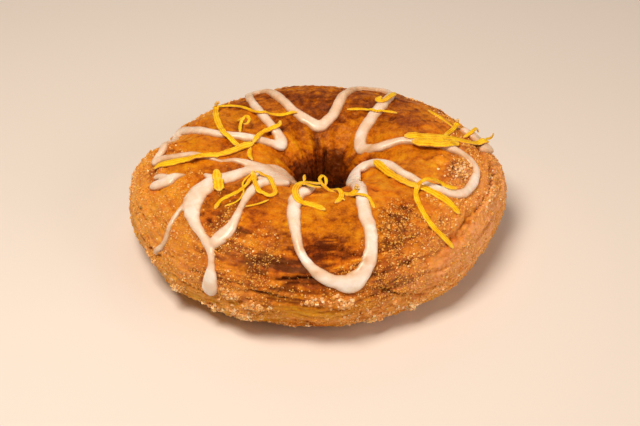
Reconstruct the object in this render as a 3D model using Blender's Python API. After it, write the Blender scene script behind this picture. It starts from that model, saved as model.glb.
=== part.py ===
"""A croissant doughnut: a fried ring of laminated dough with piped icing and shreds of lemon zest.

Units are metres, +Z is up, and the origin is at the middle of the underside. Places on the ring are
given by two angles in degrees. AROUND turns about the hole, from 0 at +X through 90 at +Y, the far
side. OVER turns round the dough's own section: 0 is the widest point of the rim, 90 the crown, 180
the wall of the hole and 270 the underside.
"""

import math

import bmesh
import bpy
from mathutils import Matrix, Vector
from mathutils.noise import noise

MM = 0.001
NODE = "croissant_doughnut"

# The ring of dough
HALF_WIDTH = 52.2 * MM  # along X, before the lobes of the rim
HALF_DEPTH = 47.6 * MM  # along Y
HEIGHT = 26.5 * MM
CROWN_RADIUS = 29.0 * MM  # from the hole's axis to the crown
HOLE_RADIUS = 6.5 * MM
HOLE_SHIFT = 1.3 * MM  # the hole sits this far off the middle, towards +X
RIM_LEVEL = 11.0 * MM  # height of the widest point
WALL_LEVEL = 12.0 * MM  # height of the hole's narrowest point
BASE_CUT = 0.55 * MM  # how much of the rounded underside the flat base takes off
OUTLINE_MIDDLE = (0.06 * MM, -1.96 * MM)  # of the finished doughnut, which moves to the origin
SQUARENESS = {"outer top": 2.15, "inner top": 2.0, "outer base": 2.6, "inner base": 2.2}

# Lobes and dents: middle AROUND, half-width in degrees, size
RIM_LOBES = (
    (13, 4.4, -2.2 * MM),
    (26, 10, -0.9 * MM),
    (100, 55, -2.9 * MM),
    (145, 26, -1.9 * MM),
    (163, 7, -3.4 * MM),
    (172.5, 4.2, 1.2 * MM),
    (201, 12, -1.0 * MM),
    (225, 25, -0.5 * MM),
    (270, 70, 1.0 * MM),
    (302, 20, -2.7 * MM),
    (336, 17, -3.5 * MM),
    (348, 8, -1.0 * MM),
)
CROWN_LOBES = (
    (262, 30, 0.5 * MM),
    (200, 22, -0.5 * MM),
    (150, 18, 0.4 * MM),
    (330, 24, -0.4 * MM),
    (20, 20, 0.4 * MM),
)

# Layers of the lamination, which end in steps on the side of the ring
LAYER_ENDS = (-22, -4, 14, 31, 47)  # OVER of each groove between two layers
GROOVE_DEPTH = 1.7 * MM
GROOVE_LEAST = 0.3  # share of its depth that a groove keeps where the layers all but close
LAYER_WANDER = 5.0  # degrees of OVER that the grooves rise and fall
LUMP = 0.6 * MM  # size of the lumps all over the crust
LUMP_SPACING = 11.0 * MM

# Hollows, creases and slits: AROUND, OVER, half-widths in degrees of each, depth
DENTS = (
    (272, 52, 9, 7, 1.9 * MM),  # the hollow under the fold at the front
    (258, 41, 9, 3, 1.0 * MM),
    (320, 32, 6, 4, 1.4 * MM),  # the crease at the right
    (331, 34, 6, 4, 1.2 * MM),
    (290, 15, 6, 4, 0.9 * MM),
    (301, -5, 7, 4, 1.0 * MM),
    (346, 73, 5, 5, 0.9 * MM),
    (190, 44, 6, 5, 1.0 * MM),
    (256, -34, 14, 7, 1.3 * MM),  # the gap over the plate
)

COLUMNS = 96
ROW_ANGLES = (
    -72, -56, -42, -31, -22, -13, -4, 5, 14, 22, 31, 39, 47, 57, 68, 79,
    90, 102, 114, 126, 139, 153, 169, 187, 206, 226, 248, 270,
)  # fmt: skip

# Icing: stations (AROUND, OVER, width in mm) along each run of the nozzle
ICING_RISE = 1.25 * MM
ICING_SINK = 0.9 * MM
ICING_STEP = 4.2 * MM
ICING_RUNS = (
    # front lobe and its turn on the lip of the hole
    ((259, 127.7, 3.2), (252.6, 106.4, 4), (255, 84.6, 4), (258.9, 65.6, 4), (264, 49.2, 4),
     (271.1, 32.9, 4.2), (277.9, 23.8, 5), (284.3, 27.9, 5), (287, 42.4, 4.2), (290.2, 67.5, 3.8),
     (293.7, 86.9, 3.6), (299.1, 105.3, 3.7), (308.5, 126, 4.1), (321, 139, 4.4), (339, 147, 4.2),
     (9, 151, 3.2)),
    # right lobe, from the lip of the hole out over the rim and back
    ((335, 143, 3.2), (354, 150.5, 3.2), (2.9, 137, 2.7), (350.2, 118.6, 2.4), (343.5, 109.3, 2.5),
     (333.8, 96.2, 2.7), (330.7, 81.6, 2.4), (331.6, 68.7, 3.2), (334.8, 55.3, 3.8), (342.5, 48.8, 3.2),
     (348.1, 48.7, 2.8), (353.1, 51.7, 2.7), (359, 66.3, 2.5), (1.4, 74.9, 2.6), (5.8, 91.3, 2.8),
     (8.8, 100.4, 2.8), (12.1, 115.2, 2.9), (18.6, 129.2, 3.2), (27.5, 135.1, 3.2)),
    # far right lobe
    ((14.7, 124, 2.9), (32.2, 135.3, 3.5), (46.9, 120.6, 3.4), (49.2, 108.2, 3.3), (50.6, 95.3, 3.2),
     (52.7, 78.4, 2.9), (56, 60.1, 2.5), (61.1, 51, 2.4), (71.1, 58.3, 2.2), (74.5, 69, 2.6),
     (77.1, 88.2, 3), (79.6, 107.6, 3), (86.6, 118.9, 3.2), (95, 124.3, 3.4)),
    # far left lobe
    ((86, 118.3, 3.2), (103.1, 116.2, 3.2), (111.1, 101.7, 3), (112.9, 83.9, 3), (113.5, 63.5, 3),
     (115.8, 45, 2.8), (121.3, 50, 2.4), (129.8, 79.9, 2.6), (135.2, 100.8, 2.8), (139.4, 119.3, 3),
     (144.4, 129.5, 3.2)),
    # left lobe
    ((138.6, 116, 3), (141.5, 127.1, 3.2), (157.1, 119.5, 2.9), (163.2, 101.4, 2.8), (164.5, 92, 2.8),
     (163.9, 74.6, 3), (160.1, 55.1, 3), (158, 45.5, 2.8), (158, 38, 2.6), (163, 39, 2.5), (168, 47, 2.4),
     (174.3, 54.6, 2.4), (180.5, 45.8, 2.2)),
    ((180.5, 44.8, 2.4), (180.5, 60.4, 2.5), (182.2, 75.5, 2.3), (186.8, 88.7, 1.4),
     (188.9, 101.6, 1.9), (195.8, 116, 4.2), (198.4, 124.7, 4.6)),
    # broad pool on the lip of the hole, out to the near left lobe and its drip
    ((197, 147.8, 5.2), (195.2, 136.3, 5.6), (198.4, 124.7, 5.4), (200.7, 113.6, 4.4),
     (204.3, 101.8, 4.4), (206.7, 92.7, 4.9), (209, 75.2, 5.9), (210.4, 66.5, 6), (218.1, 53.2, 5.4),
     (224.1, 47.8, 4.6), (229, 43.2, 3.8), (235.5, 14, 4), (236.3, 6, 4.6)),
    ((232, 40, 3.4), (233, 52, 4), (233.5, 64, 3.6), (231, 76, 2.8), (228, 88, 2.8), (225, 100, 3.2),
     (223, 113.9, 4), (224, 132, 6.2)),
    # thin run down the left of the rim
    ((209.8, 59, 1.6), (211.8, 47.1, 1.6), (213.8, 36.3, 1.8), (214.8, 23.2, 1.7), (211.8, 5.8, 3.2)),
    # dab on the left
    ((192.5, 40.6, 1.9), (193.4, 49.9, 3.4), (193.2, 60, 3.4), (194, 68.6, 1.1)),
    # fold that hangs over the rim at the right
    ((15.9, 50.3, 1.4), (18.5, 38, 2.6), (17, 26, 3.8), (7, 38, 3), (3.7, 53.6, 1.4)),
    # what fills the pool between its two runs
    ((200.6, 108.4, 3.6), (215.2, 120.5, 7.6), (228, 120.9, 7.4), (240.6, 113, 4.6)),
    # tail beside the lemon
    ((196.8, 78.9, 0.9), (202.3, 81.9, 2.2), (206.1, 84, 3)),
)  # fmt: skip

# Zest: width in mm, then stations (AROUND, OVER, height of its middle above the crust in mm)
ZEST_THICKNESS = 0.75 * MM
ZEST_STEP = 3.2 * MM
ZEST_SHREDS = (
    # left lobe
    (2, ((184.1, 47.9, 0.6), (184, 60.3, 0.5), (184.6, 67.3, 0.5), (185.1, 74, 0.5), (185.4, 81.1, 0.5),
         (184.8, 88.9, 1.5), (182.3, 97.5, 0.5), (175.4, 106.5, 0.5), (166.9, 111.5, 0.5))),
    (1.1, ((168, 111.4, 0.4), (152.7, 112.8, 1.4), (143.2, 113.6, 0.9), (134.1, 114.6, 3.3))),
    (1.5, ((142.3, 63.2, 3), (153.5, 75.5, 0.4), (164.6, 85.3, 1.5), (169.1, 97.4, 0.5),
           (174.2, 106.7, 0.5))),
    (0.9, ((138.2, 45.3, 0.4), (138.7, 58.3, 0.5), (136.9, 65.1, 0.5), (135.3, 72.5, 0.4),
           (135.2, 83.3, 0.5), (135.6, 94.8, 1.5), (129.3, 98, 0.4), (123.6, 102.8, 0.5),
           (115.6, 104, 0.5), (111.1, 107.2, 1.5))),
    (0.8, ((161.6, 96.5, 1.5), (150.6, 94.2, 1.8), (154.1, 97.6, 1.5))),
    # near left lobe
    (2.1, ((209.1, 82.2, 1.5), (204.4, 84.9, 1.5), (199.8, 86.8, 1.5))),
    (2.6, ((207.5, 84, 1.5), (215.7, 78.8, 0.8))),
    (1, ((211.5, 106.6, 2.4), (219.2, 97.1, 0.4), (221.8, 88.6, 0.4), (220.8, 75.9, 0.4),
         (222.6, 66.8, 0.4))),
    (1.1, ((212.4, 107.6, 1.8), (218.3, 103.7, 0.8), (229.2, 95.6, 1.5), (238.1, 95.4, 0.5),
           (230.9, 108.9, 1.5), (220.9, 112.6, 1.5), (213.9, 107, 2.4))),
    (0.5, ((239.7, 91.2, 0.4), (236.7, 84.1, 0.4), (233, 78.1, 0.4))),
    # lip of the hole, at the front
    (1.5, ((267.9, 114.5, 2.6), (257.1, 117.7, 2.5), (249.4, 111.5, 1.6), (251.9, 102.6, 1.5),
           (256.5, 94.7, 1.5), (266.5, 92.7, 0.4), (271.7, 88.1, 0.4))),
    (0.9, ((280.1, 110.7, 0.4), (271.6, 121.1, 1.2), (265.3, 131.1, 2.9), (269.6, 135.8, 3.9))),
    (0.8, ((272.4, 124.9, 1.3), (269.9, 135.2, 3.9))),
    (1.1, ((278.3, 115, 0.5), (282.6, 103.8, 1.5), (277.4, 95, 0.4))),
    (1.2, ((284.3, 108, 0.4), (293.6, 102.1, 3.2))),
    (0.8, ((286.8, 103, 0.4), (294.2, 95.3, 1.5), (298, 87.6, 0.4), (297.3, 81.1, 0.4))),
    # far right lobe
    (0.8, ((70.4, 101.6, 0.4), (63.7, 99, 0.4), (56.8, 97.6, 0.5), (49, 99.2, 1.5), (38.9, 89.8, 0.4))),
    (1.5, ((53.4, 63.7, 1.5), (51.7, 77.6, 1.5), (51.8, 85.4, 1.5), (54.6, 80.6, 1.9))),
    # right lobe
    (1, ((34.1, 65.2, 0.4), (27.7, 62.4, 0.4), (23.7, 61.2, 0.4), (19.8, 60.1, 0.4))),
    (1.1, ((21.7, 56.1, 2.8), (18.5, 61, 0.4), (15.1, 65.8, 0.4), (11.1, 71.5, 0.5))),
    (1.7, ((11.2, 102.5, 1.5), (10.9, 87.2, 0.5), (10, 80, 0.5), (9.7, 72.1, 0.5), (8.9, 59.2, 0.5),
           (10, 42, 1.2), (15, 33, 3.4), (18, 30, 4.2))),
    (1.7, ((4.9, 100.6, 0.5), (1.3, 88.5, 0.5), (359.3, 81.9, 0.5), (1.5, 75.2, 1.5), (5.6, 67.9, 0.5))),
    (1.6, ((5.9, 98.9, 1.5), (3.8, 92.5, 1.5), (3.1, 85.8, 1.5), (3.8, 78.3, 1.5), (7.1, 68.3, 0.5))),
    (0.9, ((14.3, 52.3, 0.4), (16.8, 46.9, 1.5), (19.1, 41.9, 2.4), (20.1, 35, 1.6))),
    (1.6, ((349.1, 125.6, 0.5), (338, 117.8, 0.5), (332.4, 110, 0.5), (329.5, 102.7, 0.5),
           (326.5, 90, 0.5), (327.1, 79.7, 0.5), (327.9, 68.1, 0.5), (328.5, 59.5, 0.4),
           (328.4, 51.3, 0.4), (328, 44.1, 0.4))),
    (1.3, ((336.4, 57.5, 1.5), (335.4, 69.1, 0.9), (331, 74.9, 2.7), (325, 80.3, 1.4),
           (317.5, 70.9, 0.4), (314.8, 60.4, 0.4), (314.2, 49.2, 0.4), (315.5, 37.8, 0.4),
           (317, 26.6, 0.4))),
)  # fmt: skip

SLIVER = 0.002 * MM  # the union leaves edges shorter than this, and they go


def bell(angle, table):
    """Sum of the smooth lobes of a table at one AROUND."""
    total = 0.0
    for middle, half_width, size in table:
        apart = (angle - middle + 180) % 360 - 180
        total += size * math.exp(-((apart / half_width) ** 2))
    return total


def section(over, crown_rise=0.0):
    """Share of the way from the crown (0) to the rim (1) or the hole (-1), and the height, at one OVER."""
    c, s = math.cos(math.radians(over)), math.sin(math.radians(over))
    side = "outer" if c > 0 else "inner"
    power = SQUARENESS[f"{side} {'top' if s > 0 else 'base'}"]
    scale = (abs(c) ** power + abs(s) ** power) ** (-1 / power)
    level = RIM_LEVEL if c > 0 else WALL_LEVEL
    rise = HEIGHT + crown_rise - level if s > 0 else level + BASE_CUT
    return c * scale, max(level + rise * s * scale, 0.0)


def smooth_skin(around, over):
    """Point on the ring before its lumps and layers."""
    c, s = math.cos(math.radians(around)), math.sin(math.radians(around))
    rim = 1 / math.hypot(c / HALF_WIDTH, s / HALF_DEPTH) + bell(around, RIM_LOBES)
    crown = CROWN_RADIUS * rim / HALF_WIDTH
    share, height = section(over, bell(around, CROWN_LOBES))
    radius = crown + ((rim - crown) if share > 0 else (crown - HOLE_RADIUS)) * share
    shift = HOLE_SHIFT * max(0.0, 1 - (radius - HOLE_RADIUS) / (rim - HOLE_RADIUS))
    return Vector((radius * c + shift, radius * s, height))


def skin_normal(around, over):
    along = smooth_skin(around + 0.5, over) - smooth_skin(around - 0.5, over)
    across = smooth_skin(around, over + 0.5) - smooth_skin(around, over - 0.5)
    return along.cross(across).normalized()


def wander(around):
    """How far the grooves between the layers have risen, in degrees of OVER."""
    turn = math.radians(around)
    return LAYER_WANDER * (0.6 * math.sin(2 * turn + 0.8) + 0.4 * math.sin(5 * turn))


def lump(point):
    """Height of the broad lumps of the crust at a point of the smooth ring, flat at the base."""
    return LUMP * noise(point / LUMP_SPACING) * min(1.0, point.z / (4 * MM))


def crust_point(around, over):
    """Point on the lumpy crust, which the toppings lie on."""
    point = smooth_skin(around, over)
    return point + skin_normal(around, over) * lump(point)


def dent(around, over):
    """Depth of the hollows and creases at a place."""
    total = 0.0
    for middle, level, half_width, half_height, depth in DENTS:
        apart = ((around - middle + 180) % 360 - 180) / half_width
        total += depth * math.exp(-(apart**2) - ((over - level) / half_height) ** 2)
    return total


def groove(around, over):
    """Depth of the groove where two layers part, which comes and goes along it."""
    strength = 0.65 + 1.2 * noise(Vector((around / 24, over / 9, 3.1)))
    return GROOVE_DEPTH * min(1.0, max(GROOVE_LEAST, strength))


def build_ring():
    """The dough as a closed grid of quads, with rows that follow the grooves."""
    mesh = bpy.data.meshes.new(NODE)
    bm = bmesh.new()
    grid = []
    for column in range(COLUMNS):
        around = 360 * column / COLUMNS
        line = []
        for row_angle in ROW_ANGLES:
            on_side = max(0.0, 1 - abs(row_angle - 12) / 60)
            over = row_angle + wander(around) * on_side
            point = crust_point(around, over)
            if point.z > 0:
                depth = dent(around, over)
                if row_angle in LAYER_ENDS:
                    depth += groove(around, over)
                point -= skin_normal(around, over) * depth
                point.z = max(point.z, 0.0)
            line.append(bm.verts.new(point))
        grid.append(line)
    rows = len(ROW_ANGLES)
    for column in range(COLUMNS):
        here, there = grid[column], grid[(column + 1) % COLUMNS]
        for row in range(rows):
            up = (row + 1) % rows
            bm.faces.new((here[row], there[row], there[up], here[up]))
    bmesh.ops.recalc_face_normals(bm, faces=bm.faces)
    bm.to_mesh(mesh)
    bm.free()
    ring = bpy.data.objects.new(NODE, mesh)
    bpy.context.scene.collection.objects.link(ring)
    return ring


def smooth_path(stations, step):
    """Stations joined by a Catmull-Rom curve, read every step of length on the ring."""
    padded = (stations[0],) + tuple(stations) + (stations[-1],)
    path = []
    for before, start, end, after in zip(padded, padded[1:], padded[2:], padded[3:]):
        unwrapped = []
        for station in (before, start, end, after):
            turn = (station[0] - start[0] + 180) % 360 - 180
            unwrapped.append((start[0] + turn,) + tuple(station[1:]))
        gap = (smooth_skin(end[0], end[1]) - smooth_skin(start[0], start[1])).length
        pieces = max(1, round(gap / step))
        for piece in range(pieces):
            path.append(catmull_rom(unwrapped, piece / pieces))
    path.append(tuple(stations[-1]))
    return path


def catmull_rom(four, t):
    """Point at t between the middle two of four stations."""
    weights = (
        -0.5 * t**3 + t**2 - 0.5 * t,
        1.5 * t**3 - 2.5 * t**2 + 1,
        -1.5 * t**3 + 2 * t**2 + 0.5 * t,
        0.5 * t**3 - 0.5 * t**2,
    )
    return tuple(sum(w * s[i] for w, s in zip(weights, four)) for i in range(len(four[0])))


def sweep(name, frames, outline):
    """Closed solid through (centre, sideways, upwards) frames. outline is (sideways, upwards) shares."""
    bm = bmesh.new()
    rings = []
    for centre, sideways, upwards in frames:
        rings.append([bm.verts.new(centre + sideways * x + upwards * y) for x, y in outline])
    count = len(outline)
    for here, there in zip(rings, rings[1:]):
        for i in range(count):
            j = (i + 1) % count
            bm.faces.new((here[i], here[j], there[j], there[i]))
    bm.faces.new(list(reversed(rings[0])))
    bm.faces.new(rings[-1])
    bmesh.ops.recalc_face_normals(bm, faces=bm.faces)
    mesh = bpy.data.meshes.new(name)
    bm.to_mesh(mesh)
    bm.free()
    return bpy.data.objects.new(name, mesh)


def frames_on_skin(path, lifts):
    """Centre, unit sideways and unit upwards vectors at each point of a path on the ring."""
    centres = []
    normals = []
    for point, lift in zip(path, lifts):
        normal = skin_normal(point[0], point[1])
        centres.append(crust_point(point[0], point[1]) + normal * lift)
        normals.append(normal)
    frames = []
    for i, (centre, normal) in enumerate(zip(centres, normals)):
        ahead = centres[min(i + 1, len(centres) - 1)] - centres[max(i - 1, 0)]
        sideways = normal.cross(ahead).normalized()
        frames.append((centre, sideways, normal, ahead.normalized()))
    return frames


def build_icing(index, stations):
    """One run of icing: a low dome on the crust, rounded at both ends."""
    path = smooth_path(stations, ICING_STEP)
    frames = frames_on_skin(path, [0.0] * len(path))
    rounded = []
    for i, ((centre, sideways, normal, ahead), point) in enumerate(zip(frames, path)):
        half = point[2] / 2 * MM
        at_end = i in (0, len(path) - 1)
        if i == 0:
            rounded.append((centre - ahead * half * 0.8, sideways * half * 0.4, normal * 0.5))
        rounded.append((centre, sideways * half, normal * (0.85 if at_end else 1.0)))
        if i == len(path) - 1:
            rounded.append((centre + ahead * half * 0.8, sideways * half * 0.4, normal * 0.5))
    outline = (
        (-1.0, 0.0),
        (-0.55, ICING_RISE),
        (0.55, ICING_RISE),
        (1.0, 0.0),
        (0.5, -ICING_SINK),
        (-0.5, -ICING_SINK),
    )
    return sweep(f"icing_{index}", rounded, outline)


def build_zest(index, width, stations):
    """One shred of zest: a flat strip at its own height above the crust."""
    path = smooth_path(stations, ZEST_STEP)
    frames = frames_on_skin(path, [point[2] * MM for point in path])
    half_width, half_thick = width / 2 * MM, ZEST_THICKNESS / 2
    bars = [(centre, sideways, normal) for centre, sideways, normal, _ in frames]
    outline = (
        (-half_width, -half_thick),
        (-half_width, half_thick),
        (half_width, half_thick),
        (half_width, -half_thick),
    )
    return sweep(f"zest_{index}", bars, outline)


def fuse(base, toppings):
    """Joins the toppings to the base with one Boolean union, then removes them."""
    collection = bpy.data.collections.new("toppings")
    bpy.context.scene.collection.children.link(collection)
    for topping in toppings:
        collection.objects.link(topping)
    union = base.modifiers.new("toppings", "BOOLEAN")
    union.operation = "UNION"
    union.solver = "MANIFOLD"
    union.operand_type = "COLLECTION"
    union.collection = collection
    bpy.context.view_layer.update()
    graph = bpy.context.evaluated_depsgraph_get()
    joined = bpy.data.meshes.new_from_object(base.evaluated_get(graph))
    base.modifiers.clear()
    base.data = joined
    for topping in toppings:
        bpy.data.objects.remove(topping)
    bpy.data.collections.remove(collection)


def connected_faces(bm):
    """Groups of faces that share edges, smallest first."""
    unseen = set(bm.faces)
    groups = []
    while unseen:
        stack = [unseen.pop()]
        group = []
        while stack:
            face = stack.pop()
            group.append(face)
            for edge in face.edges:
                for other in edge.link_faces:
                    if other in unseen:
                        unseen.remove(other)
                        stack.append(other)
        groups.append(group)
    return sorted(groups, key=len)


def keep_largest_body(obj):
    """Drops loose scraps, and the skins of hollows that the union sealed."""
    bm = bmesh.new()
    bm.from_mesh(obj.data)
    bmesh.ops.dissolve_degenerate(bm, edges=bm.edges, dist=SLIVER)
    bmesh.ops.triangulate(bm, faces=bm.faces)
    for scrap in connected_faces(bm)[:-1]:
        bmesh.ops.delete(bm, geom=scrap, context="FACES")
    loose = [vert for vert in bm.verts if not vert.link_faces]
    bmesh.ops.delete(bm, geom=loose, context="VERTS")
    bm.to_mesh(obj.data)
    bm.free()


def give_material(obj):
    """Browned crust: amber, half matt."""
    material = bpy.data.materials.new("browned crust")
    material.use_nodes = True
    shader = material.node_tree.nodes["Principled BSDF"]
    shader.inputs["Base Color"].default_value = (0.50, 0.21, 0.055, 1)
    shader.inputs["Roughness"].default_value = 0.55
    shader.inputs["Metallic"].default_value = 0.0
    obj.data.materials.clear()
    obj.data.materials.append(material)


def main():
    for obj in list(bpy.data.objects):
        bpy.data.objects.remove(obj)
    ring = build_ring()
    toppings = [build_icing(i, run) for i, run in enumerate(ICING_RUNS)]
    toppings += [build_zest(i, width, shred) for i, (width, shred) in enumerate(ZEST_SHREDS)]
    fuse(ring, toppings)
    keep_largest_body(ring)
    ring.data.transform(Matrix.Translation((-OUTLINE_MIDDLE[0], -OUTLINE_MIDDLE[1], 0)))
    give_material(ring)


main()
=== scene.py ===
"""Looks of a croissant doughnut: browned layered crust, poured icing, lemon zest and granulated sugar.

Units are metres and +Z is up. Places on the ring are given by two angles in degrees, in arrays that
numpy works through together. AROUND turns about the hole, from 0 at +X through 90 at +Y, the far side.
OVER turns round the dough's own section: 0 is the widest point of the rim, 90 the crown, 180 the wall
of the hole and 270 the underside.
"""

import math

import bmesh
import bpy
import numpy as np
from mathutils import Matrix, Vector
from mathutils.bvhtree import BVHTree
from mathutils.noise import noise


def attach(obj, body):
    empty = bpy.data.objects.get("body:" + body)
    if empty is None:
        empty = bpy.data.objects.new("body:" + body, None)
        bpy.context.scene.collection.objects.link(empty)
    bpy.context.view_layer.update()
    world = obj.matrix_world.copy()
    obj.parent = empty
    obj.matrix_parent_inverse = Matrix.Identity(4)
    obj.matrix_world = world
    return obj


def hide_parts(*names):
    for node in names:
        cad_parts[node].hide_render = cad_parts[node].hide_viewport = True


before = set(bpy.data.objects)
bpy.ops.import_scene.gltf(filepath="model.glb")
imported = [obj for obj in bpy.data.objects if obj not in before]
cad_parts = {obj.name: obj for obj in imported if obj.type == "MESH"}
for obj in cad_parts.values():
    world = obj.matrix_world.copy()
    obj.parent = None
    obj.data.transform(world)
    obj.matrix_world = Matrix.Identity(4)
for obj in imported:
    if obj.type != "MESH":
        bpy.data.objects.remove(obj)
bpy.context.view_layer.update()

MM = 0.001
NODE = "croissant_doughnut"

# ---------------------------------------------------------------- the ring, as the solid has it

HALF_WIDTH = 52.2 * MM  # along X, before the lobes of the rim
HALF_DEPTH = 47.6 * MM  # along Y
HEIGHT = 26.5 * MM
CROWN_RADIUS = 29.0 * MM
HOLE_RADIUS = 6.5 * MM
HOLE_SHIFT = 1.3 * MM
RIM_LEVEL = 11.0 * MM
WALL_LEVEL = 12.0 * MM
BASE_CUT = 0.55 * MM
OUTLINE_MIDDLE = (0.06 * MM, -1.96 * MM)  # of the finished doughnut, which moves to the origin
SQUARENESS = {"outer top": 2.15, "inner top": 2.0, "outer base": 2.6, "inner base": 2.2}

# Lobes and dents: middle AROUND, half-width in degrees, size
RIM_LOBES = (
    (13, 4.4, -2.2 * MM),
    (26, 10, -0.9 * MM),
    (100, 55, -2.9 * MM),
    (145, 26, -1.9 * MM),
    (163, 7, -3.4 * MM),
    (172.5, 4.2, 1.2 * MM),
    (201, 12, -1.0 * MM),
    (225, 25, -0.5 * MM),
    (270, 70, 1.0 * MM),
    (302, 20, -2.7 * MM),
    (336, 17, -3.5 * MM),
    (348, 8, -1.0 * MM),
)
CROWN_LOBES = (
    (262, 30, 0.5 * MM),
    (200, 22, -0.5 * MM),
    (150, 18, 0.4 * MM),
    (330, 24, -0.4 * MM),
    (20, 20, 0.4 * MM),
)

LAYER_ENDS = (-22, -4, 14, 31, 47)  # OVER of each groove between two layers
LAYER_WANDER = 5.0  # degrees of OVER that a groove rises and falls
LAYER_WAVES = ((2, 0.6, 0.8), (5, 0.4, 0.0))  # how many round the ring, share and phase
LUMP = 0.6 * MM  # height
LUMP_SPACING = 11.0 * MM
BASE_FADE = 4 * MM  # height over which the relief comes in above the flat base
NORMAL_REACH = 0.5  # degrees to each side over which the skin's slope is measured

# Hollows: AROUND, OVER, half-widths in degrees of each, depth
DENTS = (
    (272, 52, 9, 7, 1.9 * MM),
    (258, 41, 9, 3, 1.0 * MM),
    (320, 32, 6, 4, 1.4 * MM),
    (331, 34, 6, 4, 1.2 * MM),
    (290, 15, 6, 4, 0.9 * MM),
    (301, -5, 7, 4, 1.0 * MM),
    (346, 73, 5, 5, 0.9 * MM),
    (190, 44, 6, 5, 1.0 * MM),
    (256, -34, 14, 7, 1.3 * MM),
    (266, -28, 13, 16, 2.6 * MM),
)

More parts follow.
